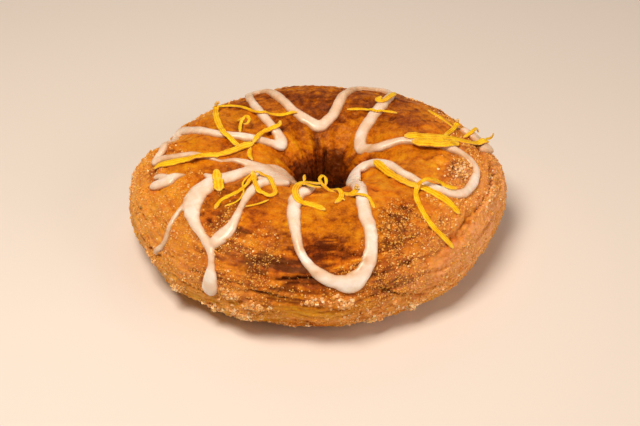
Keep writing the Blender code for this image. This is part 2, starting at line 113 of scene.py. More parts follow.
# Icing: stations (AROUND, OVER, width in mm and, if it stands off the crust, gap in mm) along each run
ICING_RISE = 1.25 * MM
ICING_SINK = 0.9 * MM
ICING_RUNS = (
    # front lobe
    ((259, 127.6, 3.2), (253.2, 106.6, 3.9), (254.4, 92.8, 3.8), (255.7, 84.9, 3.7), (257.2, 77.9, 3.6),
     (258.8, 71, 3.3), (260.3, 64.6, 3), (261.5, 58.5, 2.8), (262.7, 52.6, 2.7), (264.6, 46.6, 2.7),
     (267.1, 40.7, 2.8), (270.2, 34.8, 3.1), (273.6, 30.2, 3.7), (276.5, 27.3, 4.5), (279.5, 26.6, 4.9),
     (282.5, 30.3, 4.8), (284.7, 36.1, 4.6), (286.2, 42, 4.3), (287.6, 46.8, 3.8), (288.9, 53.6, 3.5),
     (289.7, 59.9, 3.6), (290.5, 66.4, 3.7), (291.1, 73.6, 3.9), (291.9, 81.4, 4), (293.4, 90, 3.8),
     (297.9, 104.2, 3.8), (301.5, 114, 4), (305, 124, 4.2), (309, 133, 4.4), (314, 139, 4)),
    # its turn on the lip of the hole
    ((303, 124, 3.2, 0), (309, 132, 4, 0.2), (316, 138.5, 4.6, 0.4), (327, 144.5, 5, 0.8),
     (342, 148, 4.8, 0.9), (354, 147, 4.2, 0.6), (359.5, 141.5, 3.4, 0.2), (356, 134, 2.8, 0)),
    # right lobe, from the lip of the hole out over the rim and back
    ((348, 144.5, 3.2), (356.5, 143.5, 3.2), (359.2, 138, 3.2), (355.5, 130, 3.1),
     (349.8, 121.5, 3), (343.5, 112.5, 2.9), (337.8, 104.6, 2.9), (333.8, 97.2, 2.9),
     (331.6, 88.4, 2.5), (330.7, 81.6, 2.4), (330.8, 75.4, 2.7), (331.6, 68.7, 2.8), (332.7, 61.3, 3),
     (334.8, 55.3, 2.9), (337.9, 51.2, 2.8), (342.5, 48.8, 2.7), (348.1, 48.7, 2.8), (353.1, 51.7, 2.7),
     (356.4, 57.8, 2.6), (359, 66.3, 2.5), (1.4, 74.9, 2.6), (3.7, 82.9, 2.8), (5.8, 91.3, 2.8),
     (8.8, 100.4, 2.8), (10.8, 108, 2.8), (12.1, 115.2, 2.9), (13.5, 121.5, 3), (18.6, 129.2, 3.2),
     (27.5, 135.1, 3.2)),
    # far right lobe
    ((14.7, 124, 3.2), (21.7, 132.3, 3.6), (32.2, 135.3, 3.9), (42.2, 129.7, 3.9), (46.9, 120.6, 3.8),
     (49.2, 108.2, 3.7), (50.6, 95.3, 3.6), (52.7, 78.4, 3.2), (56, 60.1, 2.8), (61.1, 51, 2.7),
     (64.8, 49.3, 2.5), (71.1, 58.3, 2.5), (74.5, 69, 2.9), (77.1, 88.2, 3.4), (79.6, 107.6, 3.4),
     (86.6, 118.9, 3.6), (95, 124.3, 3.8)),
    # far left lobe
    ((86, 118.3, 3.5), (94, 123.4, 3.7), (103.1, 116.2, 3.5), (111.1, 101.7, 3.2), (112.9, 83.9, 3.2),
     (113.5, 63.5, 3.2), (115.8, 45, 3.0), (121.3, 50, 2.6), (122.3, 51.6, 2.6), (129.8, 79.9, 2.8),
     (135.2, 100.8, 3.0), (139.4, 119.3, 3.2), (144.4, 129.5, 3.5)),
    # left lobe
    ((138.6, 116, 3), (141.5, 127.1, 3.2), (148.7, 131.3, 3.2), (152.9, 126, 3), (157.1, 119.5, 2.9),
     (161.4, 110.1, 2.8), (163.2, 101.4, 2.8), (164.5, 92, 2.8), (164.8, 83.2, 2.9), (163.9, 74.6, 3),
     (162.3, 65.2, 3.1), (160.1, 55.1, 3.4), (158, 45.5, 3.4), (157.8, 38.5, 3.2), (162, 39, 3.2),
     (168, 47, 3), (174.3, 54.3, 2.7), (177.5, 49, 2.2), (180.5, 45.8, 2.2)),
    # second line of the left lobe
    ((180.5, 44.8, 2.4), (179.5, 52.7, 2.6), (180.5, 60.4, 2.5), (181.5, 67.5, 2.4), (182.2, 75.5, 2.3),
     (183.8, 81.9, 1.8), (186.8, 88.7, 1.4), (189.7, 94.1, 1.4), (188.9, 101.6, 1.9),
     (191.4, 108.5, 2.6), (195.8, 116, 4.2), (198.4, 124.7, 4.6)),
    # broad pool on the lip of the hole, out to the near left lobe and its drip
    ((197, 147.8, 5.2), (195.2, 136.3, 5.6), (198.4, 124.7, 5.4), (200.7, 113.6, 4.4),
     (204.3, 101.8, 4.4), (205.6, 92.7, 4.9), (206.3, 85, 5.4), (207.3, 75.2, 5.8), (209.2, 66.5, 6.2),
     (212.4, 60.4, 6.2), (215.4, 56.6, 5.4), (218.6, 53.4, 4), (221.5, 50.5, 3.1), (224.7, 47.6, 2.8),
     (227.6, 45, 2.6), (230.2, 42.2, 2.6), (232.6, 38, 2.3), (234.6, 29.4, 2), (235.4, 18.8, 3.4),
     (235.8, 9, 4.7), (235.8, 3, 5.1), (235.8, -2, 5)),
    # other line from the drip back to the pool
    ((232, 41, 2.8), (233.6, 51, 4.9), (234.3, 59, 4), (234, 65, 2.6), (231.4, 76, 1.9), (228, 88, 2.5),
     (225, 100, 3.1), (223, 113.9, 4), (224, 132, 6.2)),
    # thin run down the left of the rim
    ((209.8, 59, 1.6), (211.8, 47.1, 1.6), (213.8, 36.3, 1.8), (214.8, 23.2, 1.7), (212.4, 10.3, 2.2),
     (211.8, 5.8, 2.4)),
    # dab on the left
    ((192.5, 40.6, 1.9), (192.4, 44.9, 2.6), (193.4, 49.9, 3.4), (193.5, 55, 4.4), (193.2, 60, 3.4),
     (193.4, 64.4, 1.8), (194, 68.6, 1.1)),
    # leaf that stands off the rim at the right
    ((20.5, 52, 1.8, 0), (18.5, 48, 3, 0.2), (16.8, 42, 4.2, 0.5), (14, 37, 5, 0.9),
     (11.5, 35.5, 5, 1.1), (9.2, 37.5, 4.4, 0.9), (7.4, 43, 3.2, 0.4), (6.4, 49, 1.8, 0)),
    # what fills the pool between its two runs
    ((203.8, 113.2, 6.5), (210.9, 118.3, 9), (220, 121.2, 10.5), (230.8, 120.4, 9.5), (237.4, 120.4, 6)),
    ((204, 122, 6), (212, 129, 8.5), (222, 132, 8.5), (232, 128, 6)),
    # tail beside the lemon
    ((196.8, 78.9, 0.9), (199, 80.2, 1.5), (202.3, 81.9, 2.2), (206.1, 84, 3)),
    # arm of the dab on the left
    ((188.7, 45.7, 1.3), (188.4, 49.2, 1.9), (190, 53.5, 2.2), (193.1, 56.4, 2.4)),
    # edge of the pool, over the lip of the hole
    ((204.2, 129.9, 3), (200, 140.1, 3.4), (197.9, 148.9, 2.6), (189.3, 157.6, 1.2)),
)  # fmt: skip

# Zest: width in mm, then stations (AROUND, OVER, least height of its middle above the crust in mm)
ZEST_SHREDS = (
    # left lobe
    (2.3, ((184.1, 47.9, 0.6), (183, 52.7, 0.5), (184, 60.3, 0.5), (184.6, 67.3, 0.5), (185.1, 74, 0.5),
         (185.4, 81.1, 0.5), (184.8, 88.9, 0.5), (182.3, 97.5, 0.5), (175.4, 106.5, 0.5),
         (166.9, 111.5, 0.5))),
    (1.3, ((168, 111.4, 0.4), (162.6, 110.3, 0.6), (152.7, 112.8, 1.4), (143.2, 113.6, 0.9),
           (138.1, 114.9, 1.5), (136.1, 115.9, 2.6), (134.1, 114.6, 3.3))),
    (1.7, ((142.3, 63.2, 3), (142, 59.4, 1.4), (145.2, 63.6, 0.4), (153.5, 75.5, 0.4),
           (164.6, 85.3, 0.5), (169.1, 97.4, 0.5), (174.2, 106.7, 0.5))),
    (1.0, ((138.2, 45.3, 0.4), (138.7, 58.3, 0.5), (136.9, 65.1, 0.5), (135.3, 72.5, 0.4),
           (135.2, 83.3, 0.5), (135.6, 94.8, 0.5), (129.3, 98, 0.4), (123.6, 102.8, 0.5),
           (115.6, 104, 0.5), (111.1, 107.2, 0.5))),
    (0.9, ((161.6, 96.5, 0.5), (154.1, 94.9, 1), (150.6, 94.2, 1.8), (148.1, 95.4, 2.6),
           (150.7, 99.8, 2.9), (153.6, 100.2, 2.2), (154.1, 97.6, 1.5))),
    (0.8, ((150, 89.1, 0.4), (150, 91.2, 1.3), (148.1, 92.4, 1.7))),
    (1.3, ((175.4, 113.7, 1.2), (182.6, 113.1, 0.9), (190, 114.6, 0.8))),
    # near left lobe
    (2.4, ((209.1, 82.2, 1), (204.4, 84.9, 1.5), (199.8, 86.8, 1.5))),
    (3.0, ((207.5, 84, 1.5), (211.8, 81.7, 1.2), (215.7, 78.8, 0.8))),
    (1.1, ((211.5, 106.6, 2.4), (214.2, 104.2, 0.9), (219.2, 97.1, 0.4), (221.8, 88.6, 0.4),
         (221.7, 82.2, 0.4), (220.8, 75.9, 0.4), (221.3, 71.2, 0.4), (222.6, 66.8, 0.4))),
    (0.5, ((213.1, 104.5, 1.8), (217, 95.8, 0.7), (225, 88, 0.3), (227, 79, 0.3), (225, 72, 0.4))),
    (1.3, ((212.4, 107.6, 1.8), (218.3, 103.7, 0.8), (229.2, 95.6, 0.6), (233.2, 95.7, 0.5),
           (238.1, 95.4, 0.5), (238.7, 100.8, 0.5), (230.9, 108.9, 0.6), (220.9, 112.6, 0.8),
           (214.4, 111, 1.8), (213.9, 107, 2.4))),
    (0.6, ((239.7, 91.2, 0.4), (236.7, 84.1, 0.4), (233, 78.1, 0.4))),
    # lip of the hole, at the front
    (1.7, ((267.9, 114.5, 2.6), (263.5, 113.6, 2.9), (257.1, 117.7, 2.5), (250.6, 119.3, 2),
           (249.4, 111.5, 1.6), (251.9, 102.6, 1.5), (256.5, 94.7, 0.7), (261.1, 95, 0.5),
           (266.5, 92.7, 0.4), (271.7, 88.1, 0.4))),
    (1.6, ((268, 111.5, 2), (262.8, 110.6, 2.4), (257, 114.5, 2.3), (252.2, 117.2, 1.8))),
    (1.0, ((251.9, 119.6, 2), (251.8, 121.1, 2.9), (249.7, 125.1, 3.7))),
    (1.0, ((280.1, 110.7, 0.4), (275.5, 116.2, 0.5), (271.6, 121.1, 1.2), (268.3, 124.9, 2),
           (265.3, 131.1, 2.9), (266.8, 131.7, 3.6), (269.6, 135.8, 3.9))),
    (0.9, ((272.4, 124.9, 1.3), (273.3, 129.1, 2.4), (272.8, 131.4, 3.4), (269.9, 135.2, 3.9))),
    (1.3, ((278.3, 115, 0.5), (281.3, 110.2, 1.3), (282.6, 103.8, 1.5), (282.6, 101.8, 0.5),
           (279.9, 97.5, 0.4), (277.4, 95, 0.4))),
    (0.8, ((282.2, 101.7, 0.4), (283.6, 96.6, 0.4))),
    (1.4, ((284.3, 108, 0.4), (287.9, 103.1, 0.5), (292, 102.9, 0.8), (294.4, 103.1, 1.7),
           (293.6, 102.1, 3.2))),
    (0.9, ((286.8, 103, 0.4), (291.2, 99.5, 0.5), (294.2, 95.3, 0.6), (297, 92.3, 0.6),
           (298, 87.6, 0.4), (297.3, 81.1, 0.4))),
    # far right lobe
    (0.9, ((70.4, 101.6, 0.4), (63.7, 99, 0.4), (56.8, 97.6, 0.5), (49, 99.2, 0.5), (45.5, 93.7, 0.5),
           (38.9, 89.8, 0.4))),
    (1.7, ((53.4, 63.7, 1.5), (51.7, 77.6, 1.5), (51.8, 85.4, 1.4), (55.5, 84, 0.9), (54.6, 80.6, 1.9))),
    # right lobe
    (1.1, ((34.1, 65.2, 0.4), (30.8, 64, 0.4), (27.7, 62.4, 0.4), (23.7, 61.2, 0.4), (19.8, 60.1, 0.4))),
    (1.3, ((21.7, 56.1, 2.8), (21.7, 55, 1.2), (18.5, 61, 0.4), (15.1, 65.8, 0.4), (11.1, 71.5, 0.5))),
    (2.4, ((11.2, 102.5, 0.5), (10.6, 96.2, 0.5), (10.9, 87.2, 0.5), (10, 80, 0.5), (9.7, 72.1, 0.5),
           (9.2, 66, 0.5), (8.9, 59.2, 0.5), (9.7, 50, 0.6), (10, 42, 1.3), (9.6, 39, 2.2))),
    (0.8, ((9.6, 43, 1.6), (10.5, 39, 2.6), (14.5, 34, 3.7), (18, 30, 4.6))),
    (2.7, ((4.9, 100.6, 0.5), (3.4, 95.4, 0.5), (2.2, 88.5, 0.5), (1.2, 81.9, 0.5), (2.8, 75.2, 0.5),
           (6.2, 67.9, 0.5))),
    (1.8, ((6.4, 98.9, 0.5), (5, 92.5, 0.5), (4.6, 85.8, 0.6), (5, 78.3, 0.6), (7.3, 68.3, 0.5))),
    (1.0, ((14.3, 52.3, 0.4), (16.8, 46.9, 0.8), (19.1, 41.9, 2.4), (20.1, 35, 1.6))),
    (2.1, ((352, 128, 1.6), (343, 121, 1.2), (334, 112, 0.8), (329.5, 102.7, 0.5),
           (326.5, 90, 0.5), (327.1, 79.7, 0.5), (327.9, 68.1, 0.5), (328.5, 59.5, 0.4),
           (328.4, 51.3, 0.4), (328, 44.1, 0.4))),
    (1.5, ((336.4, 57.5, 0.5), (334.5, 63, 0.5), (335.4, 69.1, 0.9), (331, 74.9, 2.7),
           (327.4, 78.3, 2.9), (325, 80.3, 1.4), (321.1, 77.7, 0.4), (317.5, 70.9, 0.4),
           (314.8, 60.4, 0.4), (314.2, 49.2, 0.4), (315.5, 37.8, 0.4), (317, 26.6, 0.4))),
)  # fmt: skip


def turned(around, middle):
    """Degrees from middle to around, the short way."""
    return (around - middle + 180) % 360 - 180


def bell(around, table):
    """Sum of the smooth lobes of a table at each AROUND."""
    total = np.zeros_like(around)
    for middle, half_width, size in table:
        total += size * np.exp(-((turned(around, middle) / half_width) ** 2))
    return total


def section(over, crown_rise):
    """Share of the way from the crown (0) to the rim (1) or the hole (-1), and the height, at each OVER."""
    c, s = np.cos(np.radians(over)), np.sin(np.radians(over))
    outer = np.where(s > 0, SQUARENESS["outer top"], SQUARENESS["outer base"])
    inner = np.where(s > 0, SQUARENESS["inner top"], SQUARENESS["inner base"])
    power = np.where(c > 0, outer, inner)
    scale = (np.abs(c) ** power + np.abs(s) ** power) ** (-1 / power)
    level = np.where(c > 0, RIM_LEVEL, WALL_LEVEL)
    rise = np.where(s > 0, HEIGHT + crown_rise - level, level + BASE_CUT)
    return c * scale, np.maximum(level + rise * s * scale, 0.0)


def smooth_skin(around, over):
    """Points on the ring before its lumps and layers."""
    c, s = np.cos(np.radians(around)), np.sin(np.radians(around))
    rim = 1 / np.hypot(c / HALF_WIDTH, s / HALF_DEPTH) + bell(around, RIM_LOBES)
    crown = CROWN_RADIUS * rim / HALF_WIDTH
    share, height = section(over, bell(around, CROWN_LOBES))
    radius = crown + np.where(share > 0, rim - crown, crown - HOLE_RADIUS) * share
    shift = HOLE_SHIFT * np.maximum(0.0, 1 - (radius - HOLE_RADIUS) / (rim - HOLE_RADIUS))
    return np.stack((radius * c + shift, radius * s, height), axis=-1)


def unit(vectors):
    """The vectors at a length of one."""
    return vectors / np.maximum(np.linalg.norm(vectors, axis=-1, keepdims=True), 1e-12)


def skin_normal(around, over):
    """Which way the smooth skin faces."""
    along = smooth_skin(around + NORMAL_REACH, over) - smooth_skin(around - NORMAL_REACH, over)
    across = smooth_skin(around, over + NORMAL_REACH) - smooth_skin(around, over - NORMAL_REACH)
    return unit(np.cross(along, across))


def noise_at(points, spacing=1.0):
    """Smooth noise in about -1..1 at each point, with features about spacing apart."""
    flat = (np.reshape(points, (-1, 3)) / spacing).tolist()
    return np.array([noise(point) for point in flat]).reshape(np.shape(points)[:-1])


def above_base(points):
    """0 at the base and 1 well above it, so that the base stays flat."""
    return np.minimum(1.0, points[..., 2] / BASE_FADE)


def lump(points):
    """Height of the broad lumps of the crust."""
    return LUMP * noise_at(points, LUMP_SPACING) * above_base(points)


def crust_point(around, over):
    """Points on the lumpy crust, which the toppings lie on."""
    points = smooth_skin(around, over)
    return points + skin_normal(around, over) * lump(points)[..., None]


def wander(around):
    """How far the grooves between the layers have risen, in degrees of OVER."""
    turn = np.radians(around)
    return LAYER_WANDER * sum(share * np.sin(count * turn + phase) for count, share, phase in LAYER_WAVES)


def patches(around, over, table):
    """Sum of soft-edged patches: AROUND, OVER, half-widths in degrees of each, amount."""
    total = np.zeros_like(around)
    for middle, level, half_width, half_height, amount in table:
        away = (turned(around, middle) / half_width) ** 2 + ((over - level) / half_height) ** 2
        total += amount * np.exp(-away)
    return total


def ring_noise(around, over, along, across, seed):
    """Noise stretched along the ring: features along and across degrees long, with no seam."""
    turn = np.radians(around)
    radius = math.degrees(1) / along
    return noise_at(np.stack((radius * np.cos(turn), radius * np.sin(turn), over / across + seed), axis=-1))


def line_noise(around, along, seed):
    """Noise that changes along the ring only."""
    return ring_noise(around, np.zeros_like(around), along, 1, seed)


def folded_noise(points, spacing):
    """Noise folded up into ridges, -1 to 1."""
    return 1 - 2 * np.abs(noise_at(points, spacing))


# ---------------------------------------------------------------- meshes


def linked(name, data):
    """A new object of the scene."""
    obj = bpy.data.objects.new(name, data)
    bpy.context.scene.collection.objects.link(obj)
    return obj


def clear_piece(name, mesh):
    """An object of one mesh, moved with the doughnut's outline to the origin, that rides on the body."""
    mesh.transform(Matrix.Translation((-OUTLINE_MIDDLE[0], -OUTLINE_MIDDLE[1], 0)))
    piece = linked(name, mesh)
    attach(piece, "root")
    return piece


def evaluated_mesh(obj):
    """The object's mesh with its modifiers applied, as a new mesh. The object goes."""
    bpy.context.view_layer.update()
    graph = bpy.context.evaluated_depsgraph_get()
    mesh = bpy.data.meshes.new_from_object(obj.evaluated_get(graph))
    bpy.data.objects.remove(obj)
    return mesh


def mesh_from(bm, name):
    """A new mesh of what a bmesh holds. The bmesh goes."""
    mesh = bpy.data.meshes.new(name)
    bm.to_mesh(mesh)
    bm.free()
    return mesh


def shade_smooth(mesh, smooth=True):
    """Sets every face of a mesh smooth, or flat."""
    mesh.polygons.foreach_set("use_smooth", [smooth] * len(mesh.polygons))


def add_values(mesh, **fields):
    """Stores one number for each vertex under each name, for materials and scattering."""
    for name, values in fields.items():
        attribute = mesh.attributes.new(name, "FLOAT", "POINT")
        attribute.data.foreach_set("value", np.asarray(values, dtype=np.float32).ravel())


# ---------------------------------------------------------------- crust

CRUST_COLUMNS = 556
# Rows of OVER: fine from the lower side up and over to the wall of the hole, coarse underneath
CRUST_ROWS = np.concatenate((
    np.linspace(-52, 205, 156, endpoint=False),
    np.linspace(205, 308, 22, endpoint=False),
))

# Edges of leaves, cracks and slits: height of the lip, depth and width of the slit in mm, then (AROUND, OVER)
# along it. The lip stands on the left of the way along.
CREASES = (
    # nested edges over the hollow at the front, and the pale leaf and slit beside them
    (1.2, 0.7, 2.0, ((258, 47), (264, 54), (269, 58), (274, 57), (279, 53), (283, 46), (286, 39))),
    (1.0, 0.7, 1.1, ((263, 46), (268, 51), (273, 52), (278, 48), (281, 42))),
    (0.8, 0.6, 0.9, ((264, 60), (270, 65), (275, 65), (280, 60))),
    (0.7, 1.3, 0.7, ((255, 30), (260, 33), (264, 34), (268, 35), (272, 34))),
    (0.5, 0.6, 0.8, ((244, 39), (250, 42), (257, 43), (262, 42))),
    (0.5, 0.9, 0.6, ((276, 43), (280, 42), (285, 40), (290, 36))),
    (1.0, 0.7, 0.8, ((284, 46), (281, 44), (278, 42), (275, 40), (272, 38))),
    # cracks low down at the front
    (0.4, 1.4, 0.6, ((284, 21), (290, 15), (294, 7), (299, 0), (303, -7), (308, -12))),
    (0.4, 0.9, 0.6, ((246, 16), (252, 18), (258, 17), (262, 14))),
    (0.4, 0.9, 0.5, ((268, 4), (274, 4), (279, 6))),
    # long crease that parts the outer leaf from the rest, round the right of the rim
    (0.8, 0.8, 0.9, ((10, 42), (5, 42), (0, 40), (355, 36), (349, 31), (340, 32), (332, 34), (323, 33),
                     (317, 31), (311, 29))),
    (0.5, 0.7, 0.7, ((357, 14), (0, 22), (5, 30), (7, 41))),
    (0.4, 0.8, 0.6, ((327, 13), (334, 16), (341, 16), (348, 12))),
    # raised flake in the right lobe, with a slit beside it
    (1.5, 0.7, 0.8, ((341, 69), (346, 68), (351, 71), (353, 76), (353, 82), (350, 87))),
    (0.5, 1.1, 0.5, ((349, 80), (348, 76), (345, 75))),
    # leaves on the left side
    (0.6, 1.0, 0.7, ((185, 28), (191, 25), (198, 25), (204, 24))),
    (0.6, 0.9, 0.7, ((193, 5), (201, 7), (210, 8), (218, 11))),
    (0.5, 1.0, 0.6, ((216, 58), (222, 60), (228, 57))),
    (0.6, 0.9, 0.7, ((160, 40), (171, 43), (176, 35), (182, 35))),
    # leaves at the far side and in the hole
    (0.7, 1.2, 0.8, ((70, 34), (82, 37), (94, 35), (106, 38), (118, 36))),
    (0.6, 1.0, 0.8, ((40, 16), (52, 19), (64, 17), (76, 20))),
    (0.6, 1.0, 0.8, ((110, 14), (122, 17), (134, 15), (146, 18))),
    (0.2, 1.0, 1.2, ((84, 142), (83, 152), (84, 164), (83, 178))),
)  # fmt: skip
CREASE_REACH = 7 * MM
CREASE_STEP = 0.4 * MM
LIP_LENGTH = 1.6  # mm over which a lip falls off
LIP_EDGE = 0.25  # mm to each side over which a slit turns into its lip

# Grooves between the layers
GROOVE_DEPTH = 1.19 * MM
GROOVE_LEAST = 0.09  # share of the depth that is left where a groove fades
GROOVE_HALF_WIDTH = 1.9  # degrees of OVER
GROOVE_RAGGEDNESS = ((1.2, 5, 7.7), (0.7, 2, 3.3))  # size and length in degrees, seed
SHELF_DEPTH = 0.35  # share of a groove's depth that the step over it has
SHELF_WIDTH = 3.2  # times the groove's half-width
LEAF_PITCH = 6.0  # degrees of OVER from one thin leaf to the next

# Heights of the crust's relief, in mm
LEAF_WAVES = 0.30  # drawn out along the sides
LEAF_STEPS = 0.50  # from each thin leaf to the next
FOLDS = 0.40
PITS = 0.45
CRINKLE = 0.16
SUGARED_CRINKLE = 0.22  # on top of that where there is sugar
GRAIN = 0.10
SUGARED_GRAIN = 0.16
CLUMP_RISE = 0.9
FLUTES = 1.5  # in the wall of the hole
DENT_SHARE = 0.4  # of the depths in DENTS

BARE_UNDER = 0.2 * MM  # depth of icing under which sugar still shows
CLEAN_BASE = (1.0 * MM, 3.0 * MM)  # heights between which the sugar comes in above the base

# Crusts of clear sugar stuck together, mostly low on the rim: as DENTS, but amounts in the last place
CLUMPS = (
    (276, 10, 3.2, 5, 1.0),
    (268, 13, 2.6, 3, 0.8),
    (279, -10, 5, 4, 0.7),
    (250, 2, 3.0, 4, 0.8),
    (243, 6, 2.4, 3, 0.6),
    (292, -5, 4, 4, 0.5),
    (345, 30, 6, 6, 0.4),
    (349, 61, 5, 7, 0.55),
    (178, 16, 5, 6, 0.5),
    (110, 15, 5, 6, 0.6),
    (60, 10, 5, 6, 0.5),
    (25, 12, 5, 5, 0.5),
    (246, -16, 4, 7, 0.9),
    (236, -24, 4, 5, 0.6),
    (262, -30, 4, 4, 0.5),
    (222, -15, 4, 5, 0.5),
    (286, -25, 6, 5, 0.7),
    (300, -20, 5, 5, 0.5),
    (312, -10, 6, 5, 0.4),
    (208, -5, 5, 5, 0.4),
)

# As DENTS, but amounts in the last place. Where the sugar lies thicker or thinner:
SUGAR_PATCHES = (
    (336, 63, 24, 18, 0.50),
    (306, 62, 12, 24, 0.55),
    (302, 18, 25, 25, 0.20),
    (357, 33, 26, 18, 0.30),
    (205, 77, 20, 20, 0.30),
    (199, 37, 30, 24, 0.30),
    (228, 66, 10, 14, 0.25),
    (270, 52, 13, 18, -0.80),
    (254, 36, 11, 8, -0.35),
    (272, 85, 13, 22, -0.25),
    (90, 66, 50, 40, -0.50),
    (140, 78, 20, 25, -0.25),
    (262, 5, 9, 9, -0.60),
)
# Where the crust is browner or paler, partly its own browning and partly painted shade, as marked:
BROWN_AND_SHADE_PATCHES = (
    # Painted shade in the hollow at the front.
    (270, 54, 13, 11, 0.42),
    (272, 82, 12, 18, 0.07),
    (270, 32, 16, 7, 0.20),
    (98, 138, 5, 8, 0.20),
    (348, 61, 7, 10, 0.38),
    (254, 63, 5, 6, 0.25),
    (222, 62, 9, 12, 0.06),
    (239, 39, 8, 8, 0.40),
    (170, 20, 30, 24, -0.06),
    (262, 40, 14, 4, 0.20),
    (302, 56, 14, 20, 0.06),
    # Painted shade over the far side, which faces away from the light.
    (90, 78, 55, 45, 0.31),
    (90, 108, 40, 14, 0.12),
    (42, 75, 22, 25, 0.10),
    (205, 20, 28, 28, -0.18),
    (178, 30, 20, 25, -0.06),
    (354, 38, 10, 5, 0.28),
    (262, 20, 16, 5, 0.12),
    (256, 41, 12, 9, 0.26),
    (275, 22, 45, 14, 0.12),
    (225, 75, 14, 22, 0.18),
    (310, 60, 14, 24, 0.08),
    (20, 93, 20, 20, 0.15),
    (200, 94, 25, 20, 0.10),
    (345, 22, 32, 28, -0.20),
    (276, 40, 2.5, 1.6, -0.45),
    (279, 42, 2.5, 1.6, -0.45),
    (282, 44, 2.5, 1.6, -0.45),
    (349, 78, 4, 7, -0.28),
    (150, 30, 40, 30, -0.15),
)
# Where powdered sugar has dried on as a pale frosting:
FROST_PATCHES = (
    (348, 22, 34, 34, 0.8),
    (352, 12, 24, 16, 0.5),
    (318, 5, 26, 22, 0.7),
    (275, -12, 60, 9, 0.35),
    (196, 22, 42, 28, 0.36),
    (232, 8, 20, 14, 0.30),
)
# Where the crust never flushed red:
GOLDEN_PATCHES = (
    (90, 80, 70, 45, -0.9),
    (272, 85, 25, 22, -0.8),
    (262, 2, 30, 14, -0.9),
)
# Where one outer leaf hides the edges of the others: middle AROUND, half-width in degrees, share hidden
HIDDEN_EDGES = ((343, 36, 0.8), (203, 30, 0.6))


def rise_to(value, low, high):
    """0 below low and 1 above high, with a smooth climb between."""
    t = np.clip((value - low) / (high - low), 0, 1)
    return t * t * (3 - 2 * t)


def groove_field(around, over):
    """Depth of the slits between the layers, and of the steps they leave, at each place."""
    depth = np.zeros_like(over)
    on_side = np.maximum(0.0, 1 - np.abs(over - 12) / 60)
    ragged = sum(size * line_noise(around, along, seed) for size, along, seed in GROOVE_RAGGEDNESS)
    for end in LAYER_ENDS:
        line = end + wander(around) * on_side + ragged
        strength = np.clip(0.40 + 1.5 * line_noise(around, 16, end / 9 + 3.1), GROOVE_LEAST, 1)
        apart = (over - line) / GROOVE_HALF_WIDTH
        slit = np.exp(-(apart**2))
        shelf = SHELF_DEPTH * np.exp(-((apart / SHELF_WIDTH) ** 2)) * (apart > 0)
        depth += GROOVE_DEPTH * strength * np.maximum(slit, shelf)
    return depth * (1 - bell(around, HIDDEN_EDGES)) * (0.35 + 0.65 * rise_to(over, -4, 20))


def closest_on(line, points):
    """For each point, the index of the closest point of a line, the way from there and its length."""
    offsets = points[:, None] - line[None]
    away = np.linalg.norm(offsets, axis=-1)
    closest = away.argmin(axis=1)
    rows = np.arange(len(closest))
    return closest, offsets[rows, closest], away[rows, closest]


def add_crease(height, recess, skin, crease):
    """Raises the lip of one crease and sinks its slit, where the crust is near it, and adds the slit to the
    recess, which darkens the crust as painted shade.
    """
    lip, slit, width, stations = crease
    path = smooth_path([(around, over, 0) for around, over in stations], CREASE_STEP)
    line = smooth_skin(path[:, 0], path[:, 1])
    left = unit(np.cross(skin_normal(path[:, 0], path[:, 1]), np.gradient(line, axis=0)))
    share = np.linspace(0, 1, len(line))
    fade = rise_to(np.minimum(share, 1 - share), 0, 0.25)
    low, high = line.min(axis=0) - CREASE_REACH, line.max(axis=0) + CREASE_REACH
    near = ((skin > low) & (skin < high)).all(axis=-1)
    closest, offsets, away = closest_on(line, skin[near])
    beside = np.einsum("ij,ij->i", offsets, left[closest])
    side = np.where(beside > 0, 1, -1) * away / MM
    side += 0.45 * noise_at(skin[near] + 0.4, 1.8 * MM)
    on_lip = rise_to(side, -LIP_EDGE, LIP_EDGE)
    raised = lip * on_lip * np.exp(-np.maximum(side, 0) / LIP_LENGTH)
    sunk = slit * (1 - on_lip) * np.exp(-((np.minimum(side, 0) / width) ** 2))
    height[near] += fade[closest] * (raised - sunk) * MM
    recess[near] = np.maximum(recess[near], fade[closest] * np.minimum(1, sunk / 0.9))


def strata(around, over, skin):
    """Broken edges of the thin leaves on the sides, one over the other: 0 in a step to 1 at an edge."""
    level = over / LEAF_PITCH + 0.9 * line_noise(around, 26, 1.9)
    level += 0.55 * ring_noise(around, over, 9, 9, 5.5) + 0.2 * noise_at(skin + 0.5, 1.6 * MM)
    through = level - np.floor(level)
    edge = np.minimum(through / 0.8, (1 - through) / 0.2)
    broken = rise_to(ring_noise(around, over, 8, 5, 31.0), -0.25, 0.35)
    shown = rise_to(np.cos(np.radians(over - 22)), 0.40, 0.85)
    shown = shown + 0.8 * rise_to(-np.cos(np.radians(over)), 0.5, 0.9)
    return edge, broken * shown * (1 - bell(around, HIDDEN_EDGES))


